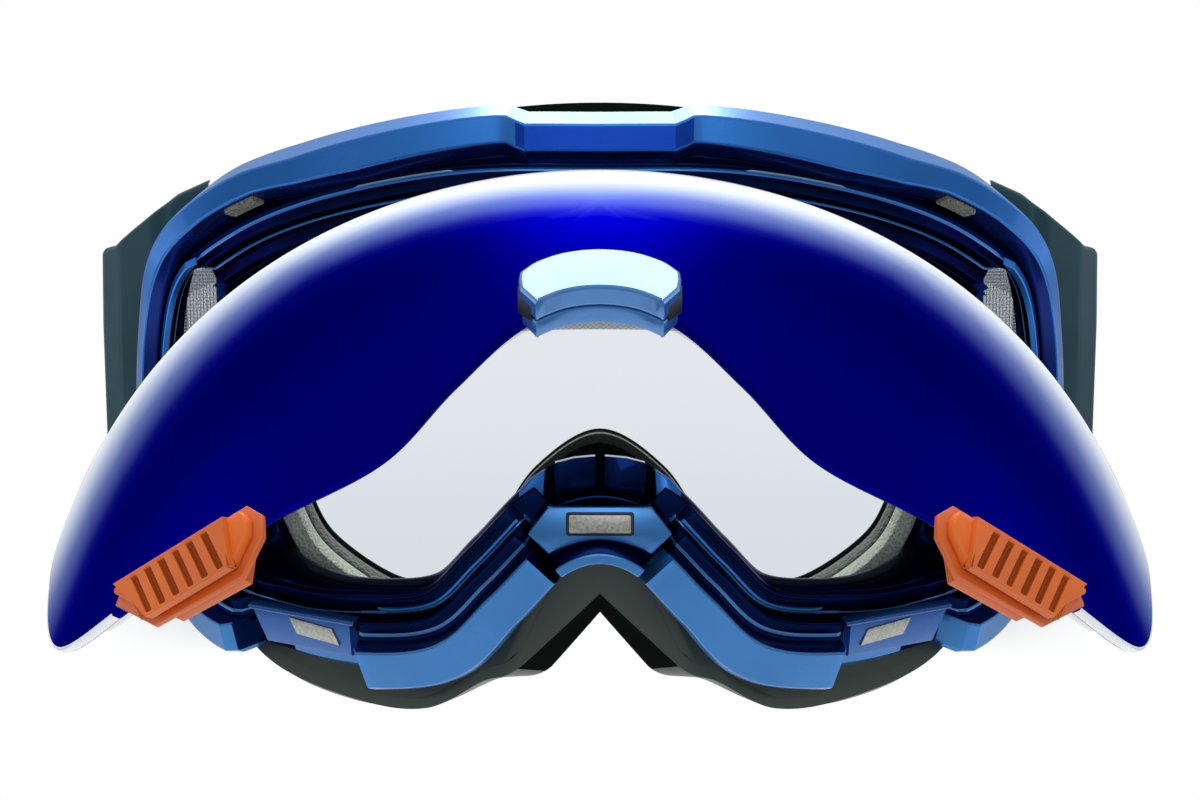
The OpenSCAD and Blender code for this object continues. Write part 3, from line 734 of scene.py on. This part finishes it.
def nose_wall():
    """The wall that rises behind the bridge plate, near-black as painted shade: two navy panels with
    near-white lips as painted highlights, between blue shoulders.
    """
    # the wall itself in the near-black nose material, painted shade
    shape = Shape().plate([(-9.6, -13.6), (9.6, -13.6), (8.6, -7.4), (5, -5.6), (0, -4.9), (-5, -5.6),
                           (-8.6, -7.4)], -44.4, -43.4, 0.2, mark=1)
    panel = [(0.75, -5.2), (4.2, -5.5), (7.3, -6.3), (7.6, -7.4), (7.1, -12.9), (0.75, -12.9)]
    lip = [(0.8, -5.05), (4.2, -5.35), (7.3, -6.15), (7.3, -6.4), (4.2, -5.6), (0.8, -5.3)]
    facet = [(8.9, -7.4), (11.4, -9.0), (13.2, -11.0), (13.0, -13.2), (12.0, -16.8), (9.2, -13.4)]
    for side in (1, -1):
        # the lips take the near-white edge material, painted highlights along the panel tops
        for outline, y0, y1, r, mark in ((panel, -45.4, -44.3, 0.18, 2), (lip, -45.6, -45.3, 0.03, 3),
                                         (facet, -46.6, -45.0, 0.35, 0)):
            shape.plate([(side * x, z) for x, z in outline], y0, y1, r, mark=mark)
    piece("nose_wall", shape, "blue nose_dark navy edge")


def rounded_box(half_w, half_h, z, r):
    """Outline of a rectangle with round corners, its middle at height z."""
    points = []
    for k, (cx, cz) in enumerate(((1, 1), (-1, 1), (-1, -1), (1, -1))):
        for a in (0, 30, 60, 90):
            t = math.radians(90 * k + a)
            points.append((cx * (half_w - r) + r * math.cos(t), z + cz * (half_h - r) + r * math.sin(t)))
    return points


def tab_recesses():
    """Pads in the cut-outs of the rim, with the dark-edged magnets that hold the tabs."""
    outline = [(-9.2, 3), (13, 3), (12, -4), (-7.6, -4)]
    magnet = np.array([(-5, 1.4), (4.4, 2.4), (3.8, -1), (-5.6, -1.9)])
    for name, side in SIDES:
        def place(p):
            return sided(on_lens(p, PAD_AT), side)
        shape = Shape().plate(outline, 3.6, 5.4, 0.35, place, 0)
        shape.plate(grown(magnet[::-1], 0.35), 3.45, 4.4, 0.1, place, 1)
        shape.plate([(-10.5, 3.55), (13.6, 3.55), (13.4, 2.8), (-10.2, 2.8)], 3.2, 5.4, 0.3, place, 0)
        piece("tab_seat_" + name, shape, "seat gasket", ["tab_pad_" + name])
        face = Shape().plate(magnet, 3.3, 4.2, 0.12, place)
        piece("seat_magnet_" + name, face, "magnet", ["pad_magnet_" + name])


def vent_meshes():
    """Woven wire mesh: each wire goes over and under the ones that cross it."""
    pitch, r, swing, y_mid, inset, border = 0.62, 0.11, 0.09, 2.9, 0.15, 0.5
    spans = [(low + inset, high - inset) for low, high in (VENT_X, VENT_Z)]
    for name, side in SIDES:
        shape = Shape()
        # turn -1 swaps x and z, for the wires that cross the first ones
        for across, along, turn in ((0, 1, 1), (1, 0, -1)):
            t = np.arange(*spans[along], pitch / 2)
            for i, at in enumerate(np.arange(*spans[across], pitch)):
                y = y_mid + turn * swing * np.cos(np.pi * (t - spans[along][0]) / pitch + np.pi * i)
                path = np.stack([np.full_like(t, at), y, t], 1)
                shape.thread(path[:, ::turn], (r, 0, 0)[::turn], (0, r, 0))
        secs = []
        for i, j in ((0, 0), (1, 0), (1, 1), (0, 1)):
            a, b = VENT_X[i], VENT_Z[j]
            c, d = a + border * (1 - 2 * i), b + border * (1 - 2 * j)
            secs.append([(a, 2.6, b), (a, 3.2, b), (c, 3.2, d), (c, 2.6, d)])
        shape.ring(np.array(secs))
        piece("vent_wire_" + name, shape.to_side(side), "mesh", ["vent_mesh_" + name],
              angle=50)


def filter_piece(name, index, corners, r, nodes=()):
    """A length of open foam along stations of the rim."""
    shape = Shape().rail(index, corners, r)
    piece(name, shape, "vent_foam", nodes)


def vent_foams():
    """Foam filters in the vents behind the rim, and the speckled corner pads inside it."""
    for name, first, last, node in (("top", -11, 11, "top_vent_foam"),
                                    ("low_left", 32, 38, "bottom_vent_foam_left"),
                                    ("low_right", -38, -32, "bottom_vent_foam_right")):
        index = np.arange(first * 4, last * 4 + 1) % len(EDGE.x)
        filter_piece("vent_filter_" + name, index,
                     [(o, -RIM_D - d) for o, d in ((3.2, 1), (3.2, 4), (1, 4), (1, 1))], 0.5, [node])
    for name, side in SIDES:
        filter_piece("corner_filter_" + name, stations(side, 58, 64.5, 20, FAR),
                     ((2.9, -0.1), (2.9, -2.8), (1.9, -2.8), (1.9, -0.1)), 0.4)


def foam_layer(name, outer, inner, d0, d1, material, node, crown=0.5):
    """A foam layer whose walls bulge a little between its glued faces."""
    rows = []
    for line, way, t0, t1 in ((outer, 1, 0, 1), (inner, -1, 1, 0)):
        for t in np.linspace(t0, t1, 7):
            bulge = crown * (math.sin(math.pi * t) - 0.4)
            rows.append(face_point(grown(line, way * bulge), d1 + (d0 - d1) * t))
    shape = Shape().ring(fillet(np.stack(rows, 1), 0.5))
    piece(name, shape, material, [node], angle=40)


def face_foam():
    """Three layers of foam on the face side, the last one fleece, and a fleece pad over the nose."""
    half = (FACE_LINE + SKIN_LINE) / 2
    soft = FLEECE + FOAM_MID
    foam_layer("foam_firm_ring", FACE_LINE, EYES_LINE, soft + 0.1, FOAM_DEPTH, "foam_base",
               "foam_base")
    foam_layer("foam_soft_ring", half, grown(EYES_LINE, -0.4), FLEECE + 0.1, soft - 0.1, "foam_mid",
               "foam_mid", 0.8)
    foam_layer("fleece_ring", SKIN_LINE, grown(EYES_LINE, -0.6), 0.15, FLEECE - 0.1, "fleece",
               "face_fleece", 0.6)
    index = np.nonzero((EYES_LINE[:, 1] < -5) & (np.abs(EYES_LINE[:, 0]) < 15.5))[0]
    rows = [face_point(grown(EYES_LINE, -g), d)[index] for g, d in
            ((0.6, 0.3), (0.8, 8), (0.6, FOAM_DEPTH + 0.6), (-1.9, FOAM_DEPTH + 0.6),
             (-1.9, FOAM_DEPTH + 0.25), (-0.6, FOAM_DEPTH - 0.1), (-0.6, 0.3))]
    pad = Shape().bar(fillet(np.stack(rows, 1), 0.4))
    piece("nose_fleece", pad, "fleece")


# ---- outriggers and strap
HINGE_X, HINGE_BACK = 84.5, 17.0
KNUCKLE_Z, KNUCKLE_R = 15.7, 2.9
CUTS = 61           # sections along an outrigger
PLAN_OUT = [(73, 6.2), (78.6, 7.0), (84, 8.2), (91.4, 13.2), (96.0, 20), (99.2, 32.5), (98.2, 44)]
PLAN_IN = [(73, 8.6), (78.6, 9.9), (83.2, 11.4), (88.8, 15.8), (92.6, 21.8), (95.2, 33), (95.6, 44)]
SLOT_Y = (35.0, 39.4)
SLOT_Z = 21.5


def outriggers():
    """Bent side panels with creased facets, a strap slot, and the knuckle each turns on."""
    arc = np.linspace(0, len(PLAN_OUT) - 1, CUTS)
    ox, oy, ix, iy = (np.interp(arc, range(len(plan)), [p[k] for p in plan])
                      for plan in (PLAN_OUT, PLAN_IN) for k in (0, 1))
    tip, tip_z = 80.6, 26.5     # in front of tip only the upper corner of the panel is left
    upper = np.interp(ox, [73, 79, 84, 89.4, 93.4, 99.5], [38, 35.4, 32.2, 28.4, 25.4, 24.0])
    lower = np.where(ox < tip, np.interp(ox, [73, tip], [29.5, tip_z]),
                     np.interp(ox, [tip, 88, 96, 99.5], [-32, -31, -26, -20]))
    first = int(np.argmax(ox >= tip))
    a, b = (int(np.argmin(np.abs(oy - y))) for y in SLOT_Y)
    shape = Shape()
    for k0, k1, low, high, r in (
            (0, first, lower, upper, 0.5), (first - 1, first + 1, tip_z, upper, 0.5),
            (first, a + 1, lower, upper, 0.5), (a, b + 1, lower, -SLOT_Z, 0.3),
            (a, b + 1, SLOT_Z, upper, 0.3), (b, CUTS, lower, upper, 0.5)):
        low, high = np.broadcast_to(low, CUTS), np.broadcast_to(high, CUTS)
        secs = [panel_section(ox[k], oy[k], ix[k], iy[k], low[k], max(high[k], low[k] + 0.5))
                for k in range(k0, k1)]
        shape.bar(fillet(np.array(secs), r))
    turn, bevel = np.linspace(0, 2 * math.pi, 40, endpoint=False), 0.3
    rounds = [np.stack([HINGE_X + r * np.cos(turn), HINGE_BACK + r * np.sin(turn), 0 * turn + z], 1)
              for z, r in ((-KNUCKLE_Z, KNUCKLE_R - bevel), (bevel - KNUCKLE_Z, KNUCKLE_R),
                           (KNUCKLE_Z - bevel, KNUCKLE_R), (KNUCKLE_Z, KNUCKLE_R - bevel))]
    shape.bar(np.array(rounds))
    # the web that joins the knuckle to the panel
    shape.prism([(84.5, 14.4), (89.6, 15.2), (91, 18.4), (84.5, 19.6)], -KNUCKLE_Z, KNUCKLE_Z, 0.3)
    for name, side in SIDES:
        node = "outrigger_" + name
        piece("outrigger_panel_" + name, shape.to_side(side), "outrigger", [node],
              node, 22)


def panel_section(a, b, c, d, low, high):
    """Section of the outrigger at one place along it: a crease along the outside, chamfered edges."""
    crease = low + (high - low) * 0.66
    return [(a - 0.1, b + 0.15, low + 0.8), (a, b, crease), (a - 0.25, b + 0.25, high - 1.0),
            (a - 0.9, b + 0.9, high), (c, d, high), (c, d, low), (a - 0.6, b + 0.6, low)]


def ribbon(name, path, body=None, replaces=()):
    """A strap of webbing along a path of points, with soft selvedges and its weave laid along it."""
    p = np.array(path, float)
    upward = np.array([0, 0, 1.0])
    side = unit(np.cross(unit(np.gradient(p, axis=0)), upward))
    half_w, half_t = WEB_W / 2, WEB_T / 2
    rim = [(-1, -0.35), (-0.985, -0.85), (-0.95, -1), (-0.5, -1), (0, -1), (0.5, -1), (0.95, -1),
           (0.985, -0.85), (1, -0.35)]
    rim += [(-w, -s) for w, s in rim]
    secs = np.stack([p + w * half_w * upward + s * half_t * side for w, s in rim], 1)
    obj = piece(name, Shape().bar(secs), "webbing", body=None, angle=50)
    length = np.concatenate([[0], np.cumsum(np.linalg.norm(np.diff(p, axis=0), axis=1))])
    uv = obj.data.uv_layers.new(name="weave").data
    near = p * MM
    for loop in obj.data.loops:
        co = np.array(obj.data.vertices[loop.vertex_index].co)
        k = int(np.argmin(np.sum((near[:, :2] - co[:2]) ** 2, 1)))
        uv[loop.index].uv = (length[k] * MM, co[2] - near[k][2] + half_w * MM)
    return hang(obj, body, replaces)


def strap_ends():
    """Webbing doubled through the slot of each outrigger, with a box of stitches in the doubled end."""
    loop = [(94.3, 92), (94.3, 60), (94.3, 38.7), (94.9, 37.4), (96.9, 37.0), (98.8, 37.4),
            (99.4, 38.7), (99.4, 45), (98.7, 47.4), (97.1, 50.6), (96.3, 53), (96.1, 56), (96.1, 88)]
    p = np.array(loop)
    fine = [p[0]]
    for a, b in zip(p[:-1], p[1:]):
        steps = max(1, int(np.linalg.norm(b - a) / 1.2))
        fine += [a + (b - a) * k / steps for k in range(1, steps + 1)]
    x, pitch, stitch = 96.95, 1.6, 1.1
    for name, side in SIDES:
        body = "outrigger_" + name
        ribbon("strap_end_web_" + name, [(side * x, y, 0) for x, y in fine], body, ["strap_end_" + name])
        # two rows of stitches along the webbing and two across it
        shape = Shape()
        for ys, zs, run, half in ((np.arange(76, 86, pitch), (-14, 14), (0, stitch, 0), (0, 0, 0.2)),
                                  ((76, 85.6), np.arange(-13.4, 13, pitch), (0, 0, stitch), (0, 0.2, 0))):
            for y, z in ((y, z) for y in ys for z in zs):
                shape.thread(np.array([(x, y, z), (x, y, z)]) + ((0, 0, 0), run), (0.18, 0, 0), half)
        piece("strap_stitching_" + name, shape.to_side(side), "buckle", (), body)


def sliders():
    """Adjuster buckles: a frame with rounded edges and a middle bar."""
    y0, y1, x_in, x_out, wall, bar = 58.0, 74.0, 91.75, 98.65, 1.35, 2.4
    for name, side in SIDES:
        shape = Shape()
        for z0, z1 in ((-21.85, -20.45), (20.45, 21.85)):
            shape.prism([(x_in, z0), (x_out, z0), (x_out, z1), (x_in, z1)], y0, y1, 0.4, axis=1)
        for x0, a, b in ((x_in, y0, y1), (x_out - wall, y0, y0 + bar), (x_out - wall, 64.6, 67.4),
                         (x_out - wall, y1 - bar, y1)):
            shape.prism([(x0, a), (x0 + wall, a), (x0 + wall, b), (x0, b)], -21.5, 21.5, 0.45)
        node = "slider_" + name
        piece("slider_frame_" + name, shape.to_side(side), "buckle", [node], node)


def rear_strap():
    """The strap round the back of the head, in two halves."""
    half = [(94.3, 91.95, 0), (93.6, 112, 0.6), (89.5, 137, 3), (79, 163, 6), (61, 186, 8.5),
            (35, 203, 10), (0, 209, 10.6)]
    # the first point past the middle bends the end of the half, and is then left off
    path = curve(half + [sided(np.array(half[-2]), -1)], 10, False)[:61]
    for name, side in SIDES:
        obj = ribbon("head_strap_" + name, sided(path, side), None, ["strap"] if side == 1 else ())
        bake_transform(obj)


def hardware():
    """CAD pieces that keep their shape and take finished materials."""
    finish = {"side_bracket_": "chassis", "hinge_pin_": "steel", "tab_magnet_": "magnet"}
    finish = {node + name: key for node, key in finish.items() for name, _ in SIDES}
    for node, key in {**finish, "clip_magnet": "magnet"}.items():
        materials = frame["nodes"][node].data.materials
        materials.clear()
        materials.append(M[key])


# ---- lens unit
def pane(name, line, top, under, material, node, black=None):
    """A curved pane with rounded edges; black gives the width of its border, dark above, and
    near-white at the lower corners as a painted highlight."""
    reach = line - PANE_CENTRE
    shells = [PANE_CENTRE + reach * s for s in (0.04, 0.12, 0.22, 0.32, 0.42, 0.52, 0.61, 0.7,
                                                0.78, 0.85, 0.91, 0.955)]
    border = 1.0 if black is None else black
    shells += [grown(line, -w) for w in (border, 0.5 * border, 0.25)]
    rows = [lens_point(q) - top * lens_normal(q) for q in shells]
    edge = [lens_point(line) - d * lens_normal(line) for d in (top + 0.25, under - 0.25)]
    back = [lens_point(q) - under * lens_normal(q) for q in reversed(shells)]
    secs = np.stack(rows + edge + back, 1)
    n, m = secs.shape[:2]
    first, last = len(shells) - 3, len(shells) + 4
    plain, black_edge, highlight_edge = range(3)
    # painted highlight: the border at the lower corners takes the near-white edge material
    strip = np.where(line[:, 1] > 6, black_edge,
                     np.where(np.abs(line[:, 0]) < 64, plain, highlight_edge))
    marks = [strip[i] if black is not None and first <= j <= last else plain
             for i in range(n) for j in range(m - 1)]
    ends = [tuple(range(k, n * m, m)) for k in (0, m - 1)]
    shape = Shape().add(opened(secs), quads(n, m, n, m - 1) + ends, marks + [0, 0])
    piece(name, shape, material + " gasket edge", [node], "lens", 50)


def lens_panes():
    """The mirrored outer pane, the clear inner pane and the black gasket between them."""
    black = 0.2 + 0.9 * ramp(EDGE.z, -10, 25)
    pane("lens_mirror_pane", EDGE.q, 0, OUTER_PANE, "mirror", "lens_outer", black)
    inset, clear = 3, 0.05      # clear lies between the pieces, so that no two faces meet
    front, back = OUTER_PANE + clear, OUTER_PANE + SPACER
    pane("lens_clear_pane", grown(EDGE.q, -inset), back + clear, back + INNER_PANE, "clear",
         "lens_inner")
    outer, inner = inset, inset + 4
    rows = [opened(EDGE.at(-o, -d)) for o, d in ((outer, front), (outer, back), (inner, back),
                                                 (inner, front))]
    piece("lens_gasket", Shape().ring(fillet(np.stack(rows, 1), 0.4)), "gasket",
          ["lens_spacer"], "lens")


CLIP_TOP = [(-10.6, -15.6), (-8.4, -12.6), (-4.6, -10.2), (0, -9.3), (4.6, -10.2), (8.4, -12.6),
            (10.6, -15.6)]
CLIP_ARCH = [(8.3, -23.4), (4.5, -20.5), (0, -19.5), (-4.5, -20.5), (-8.3, -23.4)]
FOOT_TOP = [(-10.2, -18.3), (-5, -15.7), (0, -14.7), (5, -15.7), (10.2, -18.3)]


def nose_clip():
    """Clip over the nose edge of the lens: an arched front half and a rear half with hooked ends."""
    top, foot, arch = (curve(line, 5, False).tolist() for line in (CLIP_TOP, FOOT_TOP, CLIP_ARCH))
    outline = top + [(10.7, -17.4), (10.4, -19.9)] + arch + [(-10.4, -19.9), (-10.7, -17.4)]
    shape = Shape().plate(outline, -60.4, -57.45, 0.45, opened)
    piece("nose_clip_cover", shape, "clip", ["nose_clip_front"], "lens", 16)
    outline = foot + [(10.2, -19.9)] + arch + [(-10.2, -19.9)]
    shape = Shape().plate(outline, -57.3, -54.8, 0.35, opened)
    for s in (1, -1):
        # the hooked ends are plates in gasket black, painted shade of the hollows at the clip's ends
        hook = [(s * 9.0, -17.6), (s * 10.85, -16.6), (s * 10.75, -20.0), (s * 8.9, -22.4), (s * 8.4, -20.6)]
        shape.plate(hook, -58.9, -56.6, 0.2, opened, mark=1)
    piece("nose_clip_foot", shape, "clip gasket", ["nose_clip_back"], "lens")


TAB_OUTLINE = [(-9.8, 2.5), (-8.9, 3.3), (12.2, 3.2), (13.0, 1.8), (12.8, -0.6), (9.8, -3.9), (-4.4, -3.4)]
TAB_BACK = [(-6.5, 0.4), (11.2, 0.6), (9.4, -4.9), (-2.2, -4.4)]
PAD_U, PAD_W = (-8.7, 10.2), (2.8, -5.0)
GROOVES = (-5.5, -3.1, -0.7, 1.7, 4.1, 6.6)
LEAN = 0.3


def grooved_pad(shape, place):
    """The raised face of a tab, with six leaning slots pressed into it and sloping sides; the slot floors
    take a darker orange as painted shade.
    """
    s, t = np.linspace(0, 1, 161)[:, None], np.linspace(0, 1, 25)[None, :]
    fall = (PAD_W[0] - PAD_W[1]) * t
    lean = LEAN + 0.3 * (1 - ramp(s, 0, 0.1)) - LEAN * ramp(s, 0.88, 1)
    start = PAD_U[0] + (PAD_U[1] - PAD_U[0]) * s
    u, w = start + lean * fall, PAD_W[0] - fall + 0 * s
    near = np.min([np.abs(start - g) for g in GROOVES], 0)
    cut = (1 - ramp(near, 0.3, 0.62)) * ramp(w, -4.5, -3.9) * (1 - ramp(w, 1.7, 2.3))
    top = np.stack([u, 0.95 * cut - 3.7, w], -1)
    first, last = top[:, :1] + (0, 1.3, 0.5), top[:, -1:] + (0, 1.3, 0.25)
    secs = np.concatenate([first, top, last], 1)
    n, m = secs.shape[:2]
    # painted shade: cells deep in a slot take the darker orange
    marks = [int(0 < j < m - 2 and cut[i:i + 2, j - 1:j + 1].max() > 0.5)
             for i in range(n - 1) for j in range(m)]
    shape.bar(place(secs), marks + [0, 0])


def grip_tabs():
    """Orange tabs on the lower corners of the lens, with six slots to grip by, in two halves."""
    for name, side in SIDES:
        def place(p):
            return opened(sided(on_lens(p * np.array([-1, 1, 1]), TAB_AT), side))
        shape = Shape().plate(TAB_OUTLINE, -2.7, -1.0, 0.5, place)
        grooved_pad(shape, place)
        shape.plate(grown(np.array(TAB_OUTLINE)[::-1], -1.4), -1.1, -0.15, 0.2, place, 2)
        piece("grip_tab_front_" + name, shape, "orange orange_deep orange_back",
              ["grip_tab_" + name], "lens", 70)
        back = Shape().plate(TAB_BACK, -0.2, 1.9, 0.3, place)
        piece("grip_tab_rear_" + name, back, "orange_back", ["tab_back_" + name], "lens")


# ---- camera, light and stage
def camera():
    """In front and a little above, looking down at the open lens."""
    data = bpy.data.cameras.new("camera")
    data.lens = 60.66
    data.sensor_width = 36
    data.clip_start = 0.01
    cam = placed("camera", data)
    cam.location = (0, -0.3698, 0.047)
    cam.rotation_euler = (math.radians(90 - 7.57), 0, 0)
    bpy.context.scene.camera = cam


def softbox(name, place, size, watts):
    """A rectangular light that faces the goggles and isn't seen itself."""
    data = bpy.data.lights.new(name, "AREA")
    data.shape = "RECTANGLE"
    data.size, data.size_y = size
    data.energy = watts
    light = placed(name, data)
    light.location = place
    light.rotation_euler = (-Vector(place)).to_track_quat("-Z", "Y").to_euler()
    light.visible_camera = False
    return light


def studio():
    """White surround, one large box overhead, soft fill from the front and edge light from the sides."""
    softbox("overhead", (0, 0.62, 0.72), (0.30, 0.62), 3.4)
    softbox("overhead_wide", (0, 0.5, 0.8), (1.2, 0.8), 9).visible_glossy = False
    softbox("front_fill", (0, -1.1, 0.35), (0.9, 0.5), 3)
    for side in (1, -1):
        softbox("edge_%+d" % side, (side * 0.9, 0.1, 0.15), (0.25, 0.9), 0.8)
    n = Nodes("studio", "worlds", "Background")
    axes = n.axes("Generated")
    greys = [(place, (level, level, level * 1.02)) for place, level in
             ((0.42, 0.42), (0.50, 0.6), (0.62, 0.45), (0.82, 0.62))]
    tone = n.colours(n.range(axes["Z"], -1, 1, 0, 1), (0.30, (0.10, 0.11, 0.13)), *greys,
                     (1.0, (0.7, 0.7, 0.72)))
    seen = n.new("LightPath").outputs["Is Camera Ray"]
    n.link(n.mix(seen, tone, backdrop(n, axes)), "Color")
    bpy.context.scene.world = n.made
    bpy.context.scene.view_settings.view_transform = "Standard"


def backdrop(n, axes):
    """White, with a soft pale grey-blue patch low behind the goggles: a painted shadow."""
    def fade(value, a, b):
        return n.range(value, a, b, 0, 1, "SMOOTHSTEP")

    across = n.math("ABSOLUTE", axes["X"])
    lower = n.math("ADD", n.math("MULTIPLY", fade(across, 0.0, 0.06), 0.06), axes["Z"])
    # painted shadow: a soft grey-blue patch behind the goggles, seen only by camera rays
    shadow_field = n.math("MULTIPLY", fade(across, 0.25, 0.155), fade(axes["Y"], 0.0, 0.5))
    for edge in (fade(lower, -0.192, -0.172), fade(axes["Z"], -0.035, -0.085)):
        shadow_field = n.math("MULTIPLY", shadow_field, edge)
    shade = n.mix(fade(axes["Z"], -0.23, -0.10), (0.665, 0.73, 0.77, 1), (0.77, 0.80, 0.84, 1))
    return n.mix(shadow_field, (1, 1, 1, 1), shade)


def floor():
    """A pale round floor well below the goggles."""
    n = Nodes("floor_pale")
    n.link(n.colours(n.noise(6, 3), (0.3, (0.86, 0.87, 0.88)), (0.7, (0.9, 0.9, 0.9))), "Base Color")
    n.set(Roughness=0.9)
    bpy.ops.mesh.primitive_circle_add(vertices=96, radius=1.1, fill_type="NGON", location=(0, 0, -0.5))
    disc = bpy.context.active_object
    disc.name = "floor"
    disc.data.materials.append(n.made)


for build in (camera, studio, floor, front_frame, back_frame, inner_shell, nose_bridge, nose_wall,
              tab_recesses, vent_meshes, vent_foams, face_foam, outriggers, strap_ends, sliders,
              rear_strap, hardware, lens_panes, nose_clip, grip_tabs):
    build()
